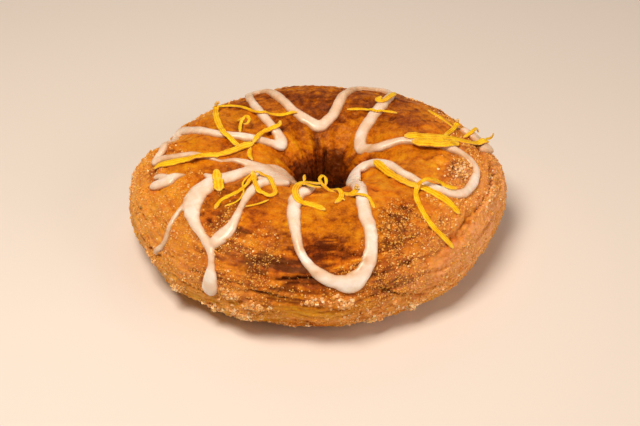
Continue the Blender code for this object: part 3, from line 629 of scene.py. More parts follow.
def crust_relief(around, over, skin, sugar, clump):
    """How far the crust stands off its skin, how deep in a slit or fold it is, and its light and dark: a tone
    that follows the relief, partly painted shade.
    """
    side = rise_to(np.cos(np.radians(over - 5)), -0.1, 0.7)
    grooves = groove_field(around, over)
    dents = patches(around, over, DENTS)
    edge, leafy = strata(around, over, skin)
    leaves = ring_noise(around, over, 13, 3.0, 11.0)
    folds = folded_noise(skin, 6.5 * MM)
    crinkle = folded_noise(skin + 0.03, 2.4 * MM)
    grain = noise_at(skin + 0.07, 1.1 * MM)
    pits = rise_to(noise_at(skin + 0.15, 3.4 * MM), 0.36, 0.66)
    flutes = ring_noise(around, over, 11, 60, 41.0) * rise_to(over, 112, 140)

    height = -grooves - DENT_SHARE * dents
    height += MM * (
        LEAF_WAVES * leaves * side
        + LEAF_STEPS * (edge - 0.6) * leafy
        + FOLDS * (folds - 0.5) * (1 - 0.4 * side)
        + (CRINKLE + SUGARED_CRINKLE * sugar) * crinkle
        - PITS * pits
        + (GRAIN + SUGARED_GRAIN * sugar) * grain
        + CLUMP_RISE * clump * (1 + grain)
    )
    # How deep each place lies in a groove, dent, pit or step; it roughens the crust, thins its sugar, and
    # darkens its tone as painted shade.
    recess = grooves / (1.6 * MM) + 0.3 * dents / MM + 0.5 * pits + 0.6 * leafy * (1 - edge) ** 2
    recess = np.clip(recess, 0, 1)
    for crease in CREASES:
        add_crease(height, recess, skin, crease)
    height += FLUTES * MM * flutes
    # Tone that follows the relief: browner on crinkles, grain and leaves, painted shade in the steps under
    # the leaf edges, and painted light and shade across the flutes in the hole.
    shade = (0.10 + 0.14 * sugar) * crinkle + 0.10 * sugar * grain + 0.12 * leaves
    shade += 0.18 * leafy * (0.5 - edge) - 0.25 * flutes
    return lump(skin) + height * above_base(skin), recess, shade


def sugar_cover(around, over, skin):
    """How thickly sugar covers each place, 0 to 1: most on the sides."""
    sugar = 0.10 + 0.70 * rise_to(-over, -85, -40) * rise_to(over, -62, -30)
    sugar += patches(around, over, SUGAR_PATCHES)
    return np.clip(sugar * (0.70 + 0.9 * noise_at(skin + 0.2, 6 * MM)), 0, 1)


def browning(around, over, skin, sugar, shade):
    """How far each place has browned, 0 to 1, with painted light and shade: paler low on the sides, partly as
    painted light thrown up from the floor, darkest in the hole as painted shade, and the relief's shade
    added.
    """
    # Paler low on the sides, partly painted light from the floor; much darker in the wall of the hole, as
    # painted shade.
    brown = 0.34 + 0.10 * rise_to(over, 50, 100) - 0.26 * rise_to(-over, -12, 14)
    brown += 0.62 * rise_to(over, 136, 170) + patches(around, over, BROWN_AND_SHADE_PATCHES) + shade
    return np.clip(brown + 0.20 * noise_at(skin + 0.3, 8 * MM) + 0.10 * sugar, 0, 1)


def build_crust(icing_tree):
    """The whole ring of dough as one closed surface, with fields for its material and its sugar."""
    turns = np.arange(CRUST_COLUMNS) * 360 / CRUST_COLUMNS
    around, over = np.meshgrid(turns, CRUST_ROWS, indexing="ij")
    skin = smooth_skin(around, over)
    normal = skin_normal(around, over)
    sugar = sugar_cover(around, over, skin)
    clump = np.clip(patches(around, over, CLUMPS) * (1 + 1.5 * noise_at(skin + 0.6, 2.5 * MM)), 0, 1)
    height, recess, shade = crust_relief(around, over, skin, sugar, clump)
    points = skin + normal * height[..., None]
    points[..., 2] = np.maximum(points[..., 2], 0.0)

    side = rise_to(np.cos(np.radians(over - 22)), 0.1, 0.7) * (1 - 0.7 * rise_to(-over, -10, 10))
    covered = height_over(icing_tree, points.reshape(-1, 3), normal.reshape(-1, 3)).reshape(over.shape)
    bare = (covered < BARE_UNDER) * rise_to(points[..., 2], *CLEAN_BASE)
    frost = np.clip(patches(around, over, FROST_PATCHES) + 0.8 * clump, 0, 1) * (1 - recess)
    mesh = grid_mesh("crust", points)
    add_values(
        mesh,
        # Browning, with painted light and shade from the relief, the hole, the floor and the patches.
        brown=browning(around, over, skin, sugar, shade),
        recess=recess,
        sugar=sugar,
        side=side,
        strewn=rise_to(sugar, 0.15, 0.75) * bare * (1 - 0.7 * recess),
        clump=clump * bare,
        frost=frost,
        flush=np.clip(1 + patches(around, over, GOLDEN_PATCHES), 0, 1),
    )
    shade_smooth(mesh)
    return mesh


def grid_mesh(name, points):
    """Closed surface through a grid of points that joins up along both of its ways."""
    columns, rows = points.shape[:2]
    here = np.arange(columns * rows).reshape(columns, rows)
    there = np.roll(here, -1, axis=0)
    faces = np.stack((here, there, np.roll(there, -1, axis=1), np.roll(here, -1, axis=1)), axis=-1)
    mesh = bpy.data.meshes.new(name)
    mesh.from_pydata(points.reshape(-1, 3).tolist(), [], faces.reshape(-1, 4).tolist())
    mesh.update()
    return mesh


# ---------------------------------------------------------------- paths on the crust

RAY_REACH = 6 * MM  # of the rays that feel for what lies on the crust


def curve_weights(t):
    """Weights of four stations in a row on a smooth curve, t of the way from the second to the third."""
    return (
        -0.5 * t**3 + t**2 - 0.5 * t,
        1.5 * t**3 - 2.5 * t**2 + 1,
        -1.5 * t**3 + 2 * t**2 + 0.5 * t,
        0.5 * t**3 - 0.5 * t**2,
    )


def smooth_path(stations, step):
    """Stations joined by a smooth curve and read every step of length, as an array of rows."""
    rows = np.array(stations, dtype=float)
    rows[:, 0] = rows[0, 0] + np.concatenate(([0], np.cumsum(turned(rows[1:, 0], rows[:-1, 0]))))
    padded = np.vstack((rows[:1], rows, rows[-1:]))
    places = smooth_skin(rows[:, 0], rows[:, 1])
    gaps = np.linalg.norm(np.diff(places, axis=0), axis=1)
    lifts = np.abs(np.diff(rows[:, 2])) * MM
    path = []
    for index, gap in enumerate(np.hypot(gaps, lifts)):
        count = max(2, math.ceil(gap / step))
        path += [np.dot(curve_weights(t), padded[index : index + 4]) for t in np.arange(count) / count]
    path.append(rows[-1])
    return np.array(path)


def eased(rows, passes):
    """Rows along a path, evened out with the rows beside them. The two ends stay."""
    for _ in range(passes):
        rows = np.concatenate((rows[:1], 0.25 * rows[:-2] + 0.5 * rows[1:-1] + 0.25 * rows[2:], rows[-1:]))
    return rows


def frames_on_crust(path, lifts, passes=0):
    """Centre, and the vectors sideways and upwards, at each row of a path."""
    normal = skin_normal(path[:, 0], path[:, 1])
    centre = eased(crust_point(path[:, 0], path[:, 1]) + normal * lifts[:, None], passes)
    normal = unit(eased(normal, passes))
    forward = unit(np.gradient(centre, axis=0))
    sideways = unit(np.cross(normal, forward))
    return centre, sideways, unit(np.cross(forward, sideways))


def from_ends(centre):
    """How far each point of a path is from the nearer end, along it."""
    along = np.concatenate(([0], np.cumsum(np.linalg.norm(np.diff(centre, axis=0), axis=1))))
    return np.minimum(along, along[-1] - along)


def height_over(tree, points, normals):
    """How high the surface in a tree stands over each point, along its normal, or 0 where there is none."""
    heights = np.zeros(len(points))
    for index, (point, normal) in enumerate(zip(points.tolist(), normals.tolist())):
        up = Vector(normal)
        distance = tree.ray_cast(Vector(point) + up * RAY_REACH, -up, RAY_REACH)[3]
        if distance is not None:
            heights[index] = RAY_REACH - distance
    return heights


def tree_of(mesh):
    """The mesh's faces, held ready for rays."""
    corners = [vertex.co for vertex in mesh.vertices]
    return BVHTree.FromPolygons(corners, [face.vertices for face in mesh.polygons])


def sweep(mesh, sections):
    """Adds one closed tube through the given loops of points to a bmesh."""
    rings = [[mesh.verts.new(point) for point in loop] for loop in sections]
    count = len(rings[0])
    for here, there in zip(rings, rings[1:]):
        for i in range(count):
            j = (i + 1) % count
            mesh.faces.new((here[i], here[j], there[j], there[i]))
    for end, order in ((rings[0], -1), (rings[-1], 1)):
        mesh.faces.new(end[::order])


# ---------------------------------------------------------------- icing

ICING_STEP = 0.7 * MM
ICING_VOXEL = 0.28 * MM
ICING_SIDES = 14
ICING_PASSES = 3  # that even out a run over the lumps under it
ICING_SLOPE = 0.45  # most that a narrow run rises, as a share of its width
ICING_TENSION = 0.6  # strength of each round of smoothing
ICING_ROUNDS = 9

# Where the icing has run thinner, and painted shade in the broad patch over the far side, where the light
# falls off: X, Y and radius in mm, amount
THIN_AND_SHADED_ICING = ((-9, -8, 7, 0.30), (48, 10, 8, 0.65), (0, 46, 30, 0.52), (32, 2, 14, 0.32), (-40, -1, 8, 0.45))


def icing_edge(centre, swell, drift, side):
    """How far one edge of a run stands out, about 1."""
    broad, fine = noise_at(centre + drift + side, 3.0 * MM), noise_at(centre - side, 1.3 * MM)
    return 1 + 0.08 * swell + 0.20 * broad + 0.12 * fine


def icing_loops(index, stations):
    """Loops of points round one run of icing: a flat-topped dome with uneven edges and round ends."""
    path = smooth_path(stations, ICING_STEP)
    gaps = path[:, 3] * MM if path.shape[1] > 3 else np.zeros(len(path))
    centre, sideways, upwards = frames_on_crust(path, gaps, ICING_PASSES)
    drift = index * 0.05
    swell = noise_at(centre + drift, 5 * MM)
    edges = [icing_edge(centre, swell, drift, side) for side in (0.01, 0.02)]
    width = path[:, 2] * MM
    rise = np.minimum(ICING_RISE, ICING_SLOPE * width) * (1 + 0.15 * swell)
    to_round_end = np.clip(2 * from_ends(centre) / width, 0, 1)
    taper = np.sqrt(np.clip(1 - (1 - to_round_end) ** 2, 0.04, 1))
    turn = np.arange(ICING_SIDES) * 2 * math.pi / ICING_SIDES
    dome = np.sin(turn)
    loops = []
    for i in range(len(path)):
        half = np.where(np.cos(turn) > 0, edges[0][i], edges[1][i]) * width[i] / 2 * taper[i]
        lift = np.where(dome > 0, rise[i] * np.abs(dome) ** 0.7, ICING_SINK * dome) * (0.45 + 0.55 * taper[i])
        loops.append(centre[i] + np.outer(half * np.cos(turn), sideways[i]) + np.outer(lift, upwards[i]))
    return loops


def build_icing():
    """All the runs flowed into one another."""
    bm = bmesh.new()
    for index, stations in enumerate(ICING_RUNS):
        sweep(bm, icing_loops(index, stations))
    bmesh.ops.recalc_face_normals(bm, faces=bm.faces)
    obj = linked("temporary", mesh_from(bm, "icing"))
    remesh = obj.modifiers.new("flow together", "REMESH")
    remesh.mode = "VOXEL"
    remesh.voxel_size = ICING_VOXEL
    relax = obj.modifiers.new("surface tension", "SMOOTH")
    relax.factor = ICING_TENSION
    relax.iterations = ICING_ROUNDS
    result = evaluated_mesh(obj)
    result.name = "icing"
    shade_smooth(result)
    return result


def add_depth(icing, crust_tree):
    """Stores how deep the icing is over the crust: 0 at its edge and 1 where it is thickest, less where it
    has run thinner and over the far side, where the drop is painted shade.
    """
    gaps = np.array([crust_tree.find_nearest(vertex.co)[3] for vertex in icing.vertices])
    depth = np.clip(gaps / ICING_RISE, 0, 1)
    places = np.array([vertex.co for vertex in icing.vertices]) / MM
    # The broad patch over the far side lowers the depth as painted shade.
    for x, y, radius, amount in THIN_AND_SHADED_ICING:
        depth -= amount * np.exp(-(((places[:, 0] - x) ** 2 + (places[:, 1] - y) ** 2) / radius**2))
    add_values(icing, depth=np.clip(depth, 0, 1))


# ---------------------------------------------------------------- zest

ZEST_STEP = 0.45 * MM
ZEST_THICKNESS = 0.5 * MM
ZEST_CLEARANCE = 0.30 * MM  # of the middle of a shred over the icing that it lies on
ZEST_PASSES = 4  # that ease a shred down from the icing
ZEST_TIP = 1.2 * MM  # length that narrows and dries at each end
TWIST_LIFT = 1.6  # mm over the crust, above which a shred twists
# Outline of a shred, in shares of half its width and of its thickness: ridged rind above, flat pith below
ZEST_OUTLINE = ((-1.0, -0.35), (-0.96, 0.15), (-0.72, 0.45), (-0.38, 0.30), (0.0, 0.58), (0.38, 0.30),
                (0.72, 0.45), (0.96, 0.15), (1.0, -0.35), (0.5, -0.5), (-0.5, -0.5))  # fmt: skip
ZEST_RIDGES = (-0.72, 0.0, 0.72)
PITH_LEVEL = -0.35


def draped(path, width, icing_tree):
    """Heights over the crust at which a shred lies on the icing under it, eased from one to the next."""
    base, sideways, _ = frames_on_crust(path, np.zeros(len(path)))
    normal = skin_normal(path[:, 0], path[:, 1])
    across = [base + sideways * shift * width for shift in (-0.3 * MM, 0, 0.3 * MM)]
    under = np.max([height_over(icing_tree, points, normal) for points in across], axis=0)
    least = np.where(under > 0, under + ZEST_CLEARANCE, 0)
    lifts = np.maximum(path[:, 2] * MM, least)
    for _ in range(ZEST_PASSES):
        padded = np.pad(lifts, 1, mode="edge")
        lifts = np.maximum(least, 0.25 * padded[:-2] + 0.5 * lifts + 0.25 * padded[2:])
    return lifts


def zest_loops(index, width, stations, icing_tree):
    """Loops of points round one shred, with uneven edges, a slow twist and narrower ends."""
    path = smooth_path(stations, ZEST_STEP)
    lifts = draped(path, width, icing_tree)
    centre, sideways, upwards = frames_on_crust(path, lifts)
    uneven = 1 + 0.20 * noise_at(centre + index * 0.04, 1.6 * MM) + 0.22 * noise_at(centre, 0.7 * MM)
    from_end = from_ends(centre)
    half = width / 2 * MM * uneven * (0.40 + 0.60 * rise_to(from_end, 0, ZEST_TIP))
    raised = np.maximum(0, lifts / MM - TWIST_LIFT)
    twist = (0.35 * noise_at(centre + index * 0.07, 7 * MM) + 0.25 * raised)[:, None]
    left = sideways * np.cos(twist) + upwards * np.sin(twist)
    up = upwards * np.cos(twist) - sideways * np.sin(twist)
    x, y = np.array(ZEST_OUTLINE).T
    thick = ZEST_THICKNESS * min(1.0, width) * (1 + 0.1 * noise_at(centre, 2 * MM))
    loops = []
    for i in range(len(path)):
        loops.append(centre[i] + np.outer(x * half[i], left[i]) + np.outer(y * thick[i], up[i]))
    return loops, from_end


def build_zest(icing_tree):
    """All the shreds, with fields for the pith underneath, the ridges, which carry a painted highlight, and
    the dried ends.
    """
    bm = bmesh.new()
    pith, tip, ridge = [], [], []
    for index, (width, stations) in enumerate(ZEST_SHREDS):
        loops, from_end = zest_loops(index, width, stations, icing_tree)
        sweep(bm, loops)
        for distance in from_end:
            pith += [float(y <= PITH_LEVEL) for _, y in ZEST_OUTLINE]
            tip += [max(0.0, 1 - distance / ZEST_TIP)] * len(ZEST_OUTLINE)
            ridge += [float(x in ZEST_RIDGES and y > 0) for x, y in ZEST_OUTLINE]
    bmesh.ops.recalc_face_normals(bm, faces=bm.faces)
    mesh = mesh_from(bm, "zest")
    add_values(mesh, pith=pith, tip=tip, ridge=ridge)
    shade_smooth(mesh)
    return mesh


# ---------------------------------------------------------------- sugar

SCATTER_INPUTS = (
    ("Surface", "Geometry"),
    ("Pieces per square metre", "Float"),
    ("Smallest", "Float"),
    ("Largest", "Float"),
    ("Material", "Material"),
    ("Seed", "Int"),
)
LEAST_STRETCH = (0.65, 0.65, 0.65)  # of a grain, along its three ways
MOST_STRETCH = (1.25, 1.05, 1.0)
STRETCH_SEED = 5

# Layers of sugar: grains on each square mm, smallest and largest in mm, seed
FINE_SUGAR = (2.4, 0.26, 0.44, 3)
COARSE_SUGAR = (0.8, 0.30, 0.54, 8)
CLUMPED_SUGAR = (3.4, 0.40, 0.80, 5)


def scatter_tree(name, shape, field_name):
    """Nodes that strew a small shape where a field of a surface is high, each turned and sized at random."""
    tree = bpy.data.node_groups.new(name, "GeometryNodeTree")
    for label, kind in SCATTER_INPUTS:
        tree.interface.new_socket(label, in_out="INPUT", socket_type="NodeSocket" + kind)
    tree.interface.new_socket("Pieces", in_out="OUTPUT", socket_type="NodeSocketGeometry")
    inputs = tree.nodes.new("NodeGroupInput").outputs

    field = add(tree, "GeometryNodeInputNamedAttribute", {"Name": field_name}, data_type="FLOAT")
    density = times(tree, inputs["Pieces per square metre"], field.outputs["Attribute"])
    points = add(tree, "GeometryNodeDistributePointsOnFaces", {
        "Mesh": inputs["Surface"], "Density": density, "Seed": inputs["Seed"]})
    turn = add(tree, "FunctionNodeRandomValue", {"Max": (math.tau,) * 3}, data_type="FLOAT_VECTOR")
    size = add(tree, "FunctionNodeRandomValue", {
        2: inputs["Smallest"], 3: inputs["Largest"]}, data_type="FLOAT")
    stretch = add(tree, "FunctionNodeRandomValue", {
        "Min": LEAST_STRETCH, "Max": MOST_STRETCH, "Seed": STRETCH_SEED}, data_type="FLOAT_VECTOR")
    scale = add(tree, "ShaderNodeVectorMath", {0: stretch.outputs["Value"], "Scale": size.outputs[1]},
                operation="SCALE")
    placed = add(tree, "GeometryNodeInstanceOnPoints", {
        "Points": points.outputs["Points"], "Instance": shape(tree),
        "Rotation": add(tree, "FunctionNodeEulerToRotation", {"Euler": turn.outputs["Value"]}).outputs[0],
        "Scale": scale.outputs[0]})
    real = add(tree, "GeometryNodeRealizeInstances", {"Geometry": placed.outputs["Instances"]})
    finish = add(tree, "GeometryNodeSetMaterial", {
        "Geometry": real.outputs["Geometry"], "Material": inputs["Material"]})
    tree.links.new(finish.outputs["Geometry"], tree.nodes.new("NodeGroupOutput").inputs["Pieces"])
    return tree


def block_shape(tree):
    """A unit cube: the blunt block that a large grain of sugar is."""
    return add(tree, "GeometryNodeMeshCube", {"Size": (1, 1, 1)}).outputs["Mesh"]


def chip_shape(tree):
    """A small double pyramid, for the fine grains."""
    return add(tree, "GeometryNodeMeshUVSphere", {"Segments": 4, "Rings": 2, "Radius": 0.6}).outputs["Mesh"]


def scatter(name, surface, tree, material, per_square_mm, smallest, largest, seed):
    """A plain mesh of what the tree strews over a surface, in sizes in mm."""
    obj = linked("temporary", surface)
    modifier = obj.modifiers.new(name, "NODES")
    modifier.node_group = tree
    values = {
        "Pieces per square metre": per_square_mm / MM**2,
        "Smallest": smallest * MM,
        "Largest": largest * MM,
        "Material": material,
        "Seed": seed,
    }
    for item in tree.interface.items_tree:
        if item.in_out == "INPUT" and item.name in values:
            modifier[item.identifier] = values[item.name]
    mesh = evaluated_mesh(obj)
    mesh.name = name
    shade_smooth(mesh, False)
    return mesh


def build_sugar(crust):
    """Fine, coarse and clumped grains, strewn over copies of the crust."""
    amber = sugar_material("amber sugar", AMBER_SUGAR)
    clear = sugar_material("clear sugar", CLEAR_SUGAR)
    chips = scatter_tree("fine sugar", chip_shape, "strewn")
    blocks = scatter_tree("sugar", block_shape, "strewn")
    crusts = scatter_tree("sugar crusts", block_shape, "clump")
    fine = scatter("sugar_fine", crust.copy(), chips, amber, *FINE_SUGAR)
    coarse = scatter("sugar_coarse", crust.copy(), blocks, amber, *COARSE_SUGAR)
    clumped = scatter("sugar_clumped", crust.copy(), crusts, clear, *CLUMPED_SUGAR)
    return fine, coarse, clumped


# ---------------------------------------------------------------- materials

# Colours along a tone from 0, pale, to 1, dark
GOLDEN_DOUGH = (
    (0.0, (0.84, 0.51, 0.045)),
    (0.30, (0.70, 0.318, 0.006)),
    (0.55, (0.56, 0.178, 0.002)),
    (0.80, (0.26, 0.056, 0.001)),
    (1.0, (0.10, 0.016, 0.001)),
)
RUDDY_DOUGH = (
    (0.0, (0.90, 0.44, 0.040)),
    (0.30, (0.74, 0.262, 0.006)),
    (0.55, (0.58, 0.142, 0.002)),
    (0.80, (0.27, 0.044, 0.001)),
    (1.0, (0.09, 0.012, 0.001)),
)
# Colours along the depth of the icing
ICING_COLOURS = (
    (0.0, (0.62, 0.38, 0.20)),
    (0.45, (0.77, 0.58, 0.42)),
    (0.80, (0.84, 0.72, 0.60)),
    (1.0, (0.89, 0.83, 0.76)),
)
# Colours along a tone from 0, deep, to 1, bright
RIND_COLOURS = (
    (0.25, (0.72, 0.33, 0.002)),
    (0.5, (0.90, 0.52, 0.004)),
    (0.8, (1.0, 0.70, 0.03)),
)
# Colours along the chance that falls to each grain
AMBER_SUGAR = (
    (0.0, (0.70, 0.30, 0.030)),
    (0.50, (0.80, 0.39, 0.065)),
    (0.85, (0.88, 0.48, 0.12)),
    (0.97, (0.95, 0.64, 0.28)),
    (1.0, (1.0, 0.84, 0.58)),
)
CLEAR_SUGAR = (
    (0.0, (0.78, 0.37, 0.09)),
    (0.6, (0.86, 0.50, 0.19)),
    (1.0, (0.95, 0.72, 0.44)),
)
MELTED_SUGAR = (0.76, 0.33, 0.050)
FROSTING = (0.90, 0.425, 0.19)
PITH = (0.95, 0.78, 0.38)
DRY_TIP = (0.88, 0.62, 0.20)
FIBRE_RADIUS = 45 * MM  # of the ring, for the length of the fibres along it


def fill(tree, node, inputs):
    """Links the inputs that are given a socket, and sets the others."""
    for name, value in inputs.items():
        if isinstance(value, bpy.types.NodeSocket):
            tree.links.new(value, node.inputs[name])
        else:
            node.inputs[name].default_value = value


def add(tree, kind, inputs=None, **settings):
    """Adds a node, sets its properties, and links or sets its inputs."""
    node = tree.nodes.new(kind)
    for name, value in settings.items():
        setattr(node, name, value)
    fill(tree, node, inputs or {})
    return node


def new_material(name):
    """A new material, its tree and its Principled BSDF."""
    material = bpy.data.materials.new(name)
    material.use_nodes = True
    tree = material.node_tree
    return material, tree, tree.nodes["Principled BSDF"]


def field_of(tree, name):
    """The number stored under a name at each vertex."""
    return add(tree, "ShaderNodeAttribute", attribute_name=name).outputs["Fac"]


def maths(tree, operation, first, second, clamp=False):
    """Two factors put together by an operation."""
    return add(tree, "ShaderNodeMath", {0: first, 1: second}, operation=operation, use_clamp=clamp).outputs[0]


def times(tree, first, second):
    """Product of two factors."""
    return maths(tree, "MULTIPLY", first, second)


def minus(tree, first, second):
    """The first factor less the second."""
    return maths(tree, "SUBTRACT", first, second)


def centred(tree, noise_factor):
    """A noise that lies about 0.5 brought to lie about 0."""
    return minus(tree, noise_factor, 0.5)


def rgba(colour):
    """A colour of three numbers, or a grey of one, with full alpha. A socket stays as it is."""
    if isinstance(colour, tuple):
        return (*colour, 1)
    return (colour, colour, colour, 1) if isinstance(colour, float) else colour


def mixed(tree, factor, first, second):
    """Colour that goes from first to second as factor goes from 0 to 1."""
    inputs = {0: factor, 6: rgba(first), 7: rgba(second)}
    return add(tree, "ShaderNodeMix", inputs, data_type="RGBA").outputs[2]


def ramp(tree, factor, stops):
    """Colours or greys at given places along a factor."""
    node = add(tree, "ShaderNodeValToRGB", {"Fac": factor})
    elements = node.color_ramp.elements
    while len(elements) < len(stops):
        elements.new(0.5)
    for element, (place, colour) in zip(elements, stops):
        element.position = place
        element.color = rgba(colour)
    return node.outputs["Color"]


def place_of(tree):
    """The object's own coordinates."""
    return add(tree, "ShaderNodeTexCoord").outputs["Object"]


def speckle(tree, size, detail, roughness):
    """Noise with features about size across."""
    return add(tree, "ShaderNodeTexNoise", {
        "Vector": place_of(tree), "Scale": 1 / size, "Detail": detail, "Roughness": roughness}).outputs["Fac"]


def cells(tree, size):
    """How far each place is from the middle of its cell, in random cells about size across."""
    inputs = {"Vector": place_of(tree), "Scale": 1 / size}
    return add(tree, "ShaderNodeTexVoronoi", inputs).outputs["Distance"]


def bump(tree, height, distance, strength, under=None):
    """Normals of a relief, on top of those under it."""
    inputs = {"Height": height, "Distance": distance, "Strength": strength}
    if under is not None:
        inputs["Normal"] = under
    return add(tree, "ShaderNodeBump", inputs).outputs["Normal"]


def set_subsurface(tree, shader, weight, radius, scale):
    """Light that passes through the outside: how much, how far in each colour, and the scale of that."""
    fill(tree, shader, {"Subsurface Weight": weight, "Subsurface Radius": radius, "Subsurface Scale": scale})


def fibres(tree, along, across):
    """Noise drawn out along the ring and thin from leaf to leaf."""
    place = place_of(tree)
    flat = add(tree, "ShaderNodeVectorMath", {0: place, 1: (1, 1, 0)}, operation="MULTIPLY")
    heading = add(tree, "ShaderNodeVectorMath", {0: flat.outputs[0]}, operation="NORMALIZE")
    around = add(tree, "ShaderNodeVectorMath", {0: heading.outputs[0], "Scale": FIBRE_RADIUS / along},
                 operation="SCALE")
    level = add(tree, "ShaderNodeVectorMath", {0: place, 1: (0, 0, 1 / across), 2: around.outputs[0]},
                operation="MULTIPLY_ADD")
    return add(tree, "ShaderNodeTexNoise", {
        "Vector": level.outputs[0], "Scale": 1.0, "Detail": 4.0, "Roughness": 0.6}).outputs["Fac"]


def weighted(tree, *terms):
    """Sum of factors, each times its weight, clamped to 0..1."""
    total = 0.0
    for factor, weight in terms:
        total = maths(tree, "ADD", times(tree, factor, weight), total)
    return maths(tree, "ADD", total, 0.0, clamp=True)


def crust_colour(tree, tone, sugar):
    """Golden to ruddy dough, under melted sugar and a pale frosting."""
    blotch = ramp(tree, speckle(tree, 6 * MM, 3, 0.5), ((0.35, 0.0), (0.62, 1.0)))
    flushed = times(tree, blotch, field_of(tree, "flush"))
    dough = mixed(tree, flushed, ramp(tree, tone, GOLDEN_DOUGH), ramp(tree, tone, RUDDY_DOUGH))
    patchy = ramp(tree, speckle(tree, 1.3 * MM, 3, 0.6), ((0.42, 0.0), (0.62, 0.75)))
    coated = times(tree, times(tree, sugar, patchy), minus(tree, 1.0, times(tree, tone, 0.7)))
    glazed = mixed(tree, coated, dough, MELTED_SUGAR)
    powdery = ramp(tree, speckle(tree, 1.0 * MM, 3, 0.6), ((0.36, 0.25), (0.60, 1.0)))
    return mixed(tree, times(tree, field_of(tree, "frost"), powdery), glazed, FROSTING)


def crust_material():
    """Fried crust: golden where it is glazed, darker in its slits and folds as painted shade, with melted
    sugar on it.
    """
    material, tree, shader = new_material("browned crust")
    recess, sugar, side = (field_of(tree, name) for name in ("recess", "sugar", "side"))
    mottle = speckle(tree, 2.2 * MM, 5, 0.62)
    streak = times(tree, centred(tree, fibres(tree, 6 * MM, 0.8 * MM)), side)
    thread = times(tree, centred(tree, fibres(tree, 4 * MM, 0.45 * MM)), side)
    grains = cells(tree, 0.8 * MM)
    plain = minus(tree, 1.0, times(tree, sugar, 0.6))
    fine = times(tree, centred(tree, speckle(tree, 0.5 * MM, 3, 0.65)), plain)
    # The recess darkens the tone: painted shade in the slits, grooves, dents and pits.
    tone = weighted(tree, (field_of(tree, "brown"), 1.0), (centred(tree, mottle), 0.65), (recess, 0.36),
                    (streak, 0.6), (thread, 0.4), (fine, 0.55), (grains, 0.06))
    gloss = ramp(tree, mottle, ((0.3, 0.30), (0.7, 0.52)))
    rough = bump(tree, speckle(tree, 1.4 * MM, 4, 0.6), 0.32 * MM, 0.7)
    rough = bump(tree, streak, 0.30 * MM, 0.7, rough)
    sugared = maths(tree, "ADD", times(tree, sugar, 0.85), 0.15)
    knobby = times(tree, minus(tree, 1.0, grains), sugared)
    fill(tree, shader, {
        "Base Color": crust_colour(tree, tone, sugar),
        "Roughness": maths(tree, "ADD", gloss, times(tree, recess, 0.4), clamp=True),
        "Normal": bump(tree, knobby, 0.28 * MM, 0.9, rough),
        "Specular IOR Level": 0.22,
        "Specular Tint": (1.0, 0.66, 0.34, 1),
    })
    set_subsurface(tree, shader, 0.1, (1.0, 0.35, 0.1), 1.0 * MM)
    return material


def icing_material():
    """Set icing: cream, warmer where it is thin and lets the crust show, darker over the far side as painted
    shade, smooth and soft to the light.
    """
    material, tree, shader = new_material("cream icing")
    drift = times(tree, centred(tree, speckle(tree, 5 * MM, 3, 0.5)), 0.7)
    fill(tree, shader, {
        "Base Color": ramp(tree, maths(tree, "ADD", field_of(tree, "depth"), drift), ICING_COLOURS),
        "Roughness": ramp(tree, speckle(tree, 3 * MM, 3, 0.6), ((0.3, 0.20), (0.75, 0.36))),
        "Normal": bump(tree, speckle(tree, 2.0 * MM, 3, 0.5), 0.12 * MM, 0.4),
    })
    set_subsurface(tree, shader, 0.35, (1.0, 0.6, 0.4), 1.5 * MM)
    return material


def zest_material():
    """Lemon rind: deep yellow with pores, brighter on its ridges as a painted highlight, paler where the pith
    or a dry end shows.
    """
    material, tree, shader = new_material("lemon zest")
    pores = cells(tree, 0.45 * MM)
    drift = speckle(tree, 2.5 * MM, 3, 0.5)
    # The ridges are lightened as a painted highlight.
    tone = weighted(tree, (drift, 0.9), (field_of(tree, "ridge"), 0.38), (pores, -0.25))
    pale = mixed(tree, times(tree, field_of(tree, "pith"), 0.75), ramp(tree, tone, RIND_COLOURS), PITH)
    fill(tree, shader, {
        "Base Color": mixed(tree, times(tree, field_of(tree, "tip"), 0.4), pale, DRY_TIP),
        "Roughness": 0.38,
        "Normal": bump(tree, pores, 0.08 * MM, 0.6),
        "Specular Tint": (1.0, 0.85, 0.35, 1),
    })
    set_subsurface(tree, shader, 0.2, (1.0, 0.6, 0.1), 0.8 * MM)
    return material


def sugar_material(name, colours):
    """Glassy grains of sugar, each of a colour of its own."""
    material, tree, shader = new_material(name)
    chance = add(tree, "ShaderNodeNewGeometry").outputs["Random Per Island"]
    fill(tree, shader, {
        "Base Color": ramp(tree, chance, colours),
        "Roughness": 0.30,
        "Specular Tint": (1.0, 0.82, 0.62, 1),
    })
    set_subsurface(tree, shader, 0.3, (1.0, 0.6, 0.25), 0.5 * MM)
    return material


# ---------------------------------------------------------------- the stage

CAMERA_PLACE = (-1.56 * MM, -287.52 * MM, 226.08 * MM)
CAMERA_PITCH = 37.32  # degrees below level
CAMERA_YAW = 0.354  # degrees to the right
CAMERA_LENS = 73.125  # mm
CAMERA_SENSOR = 36  # mm wide
CAMERA_NEAR = 0.01  # nearest that it sees
FLOOR_SIZE = 3.0
FLOOR_COLOUR = (0.78, 0.76, 0.73, 1)
FLOOR_ROUGHNESS = 0.7
LIGHT_AIM = (0, 0, 0.01)
# Name, place, size, watts and colour
LIGHTS = (
    ("key", (-0.12, -0.11, 0.44), 0.20, 2.2, (1.0, 0.82, 0.67)),
    ("fill", (0.45, -0.25, 0.22), 0.40, 1.3, (1.0, 0.80, 0.68)),
    ("back", (0.10, 0.60, 0.45), 0.40, 0.4, (1.0, 0.84, 0.72)),
)
ROOM_COLOUR = (0.98, 0.83, 0.69, 1)
ROOM_STRENGTH = 0.13


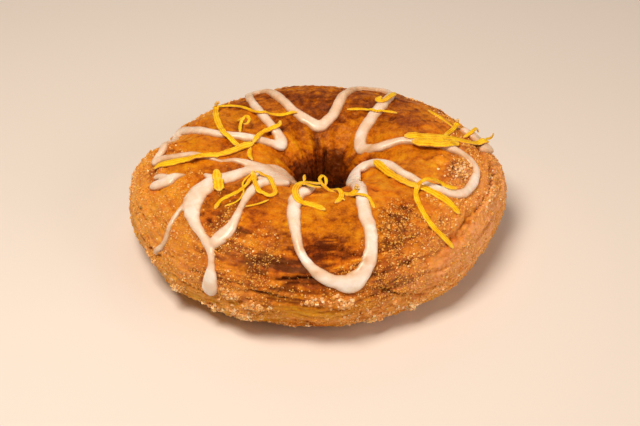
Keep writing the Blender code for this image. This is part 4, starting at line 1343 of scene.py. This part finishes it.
def build_camera():
    """The camera, looking down at the front."""
    camera = linked("camera", bpy.data.cameras.new("camera"))
    camera.location = CAMERA_PLACE
    camera.rotation_euler = (math.radians(90 - CAMERA_PITCH), 0, math.radians(-CAMERA_YAW))
    camera.data.lens = CAMERA_LENS
    camera.data.sensor_width = CAMERA_SENSOR
    camera.data.clip_start = CAMERA_NEAR
    bpy.context.scene.camera = camera


def build_floor():
    """A plain pale tabletop, far wider than the view."""
    bm = bmesh.new()
    bmesh.ops.create_grid(bm, x_segments=1, y_segments=1, size=FLOOR_SIZE / 2)
    mesh = mesh_from(bm, "floor")
    floor = linked("floor", mesh)
    material, tree, shader = new_material("pale table")
    fill(tree, shader, {"Base Color": FLOOR_COLOUR, "Roughness": FLOOR_ROUGHNESS})
    mesh.materials.append(material)


def add_light(name, place, size, power, colour):
    """A square soft light that faces the doughnut."""
    light = bpy.data.lights.new(name, "AREA")
    light.size = size
    light.energy = power
    light.color = colour
    obj = linked(name, light)
    obj.location = place
    obj.rotation_euler = (Vector(LIGHT_AIM) - Vector(place)).to_track_quat("-Z", "Y").to_euler()


def build_light():
    """Three soft lights in a dim warm room."""
    for settings in LIGHTS:
        add_light(*settings)
    world = bpy.data.worlds.new("room")
    world.use_nodes = True
    background = world.node_tree.nodes["Background"]
    fill(world.node_tree, background, {"Color": ROOM_COLOUR, "Strength": ROOM_STRENGTH})
    bpy.context.scene.world = world
    bpy.context.scene.view_settings.view_transform = "Standard"


# ---------------------------------------------------------------- the doughnut


def build_doughnut():
    """The pieces that take the place of the solid."""
    icing = build_icing()
    icing.materials.append(icing_material())
    icing_tree = tree_of(icing)
    crust = build_crust(icing_tree)
    crust.materials.append(crust_material())
    add_depth(icing, tree_of(crust))
    zest = build_zest(icing_tree)
    zest.materials.append(zest_material())
    fine, coarse, clumped = build_sugar(crust)
    pieces = [
        clear_piece("crust", crust),
        clear_piece("icing", icing),
        clear_piece("zest", zest),
        clear_piece("sugar_fine", fine),
        clear_piece("sugar_coarse", coarse),
        clear_piece("sugar_clumped", clumped),
    ]
    for piece in pieces:
        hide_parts(NODE)


def main():
    """Everything in the scene."""
    build_camera()
    build_light()
    build_floor()
    build_doughnut()


main()
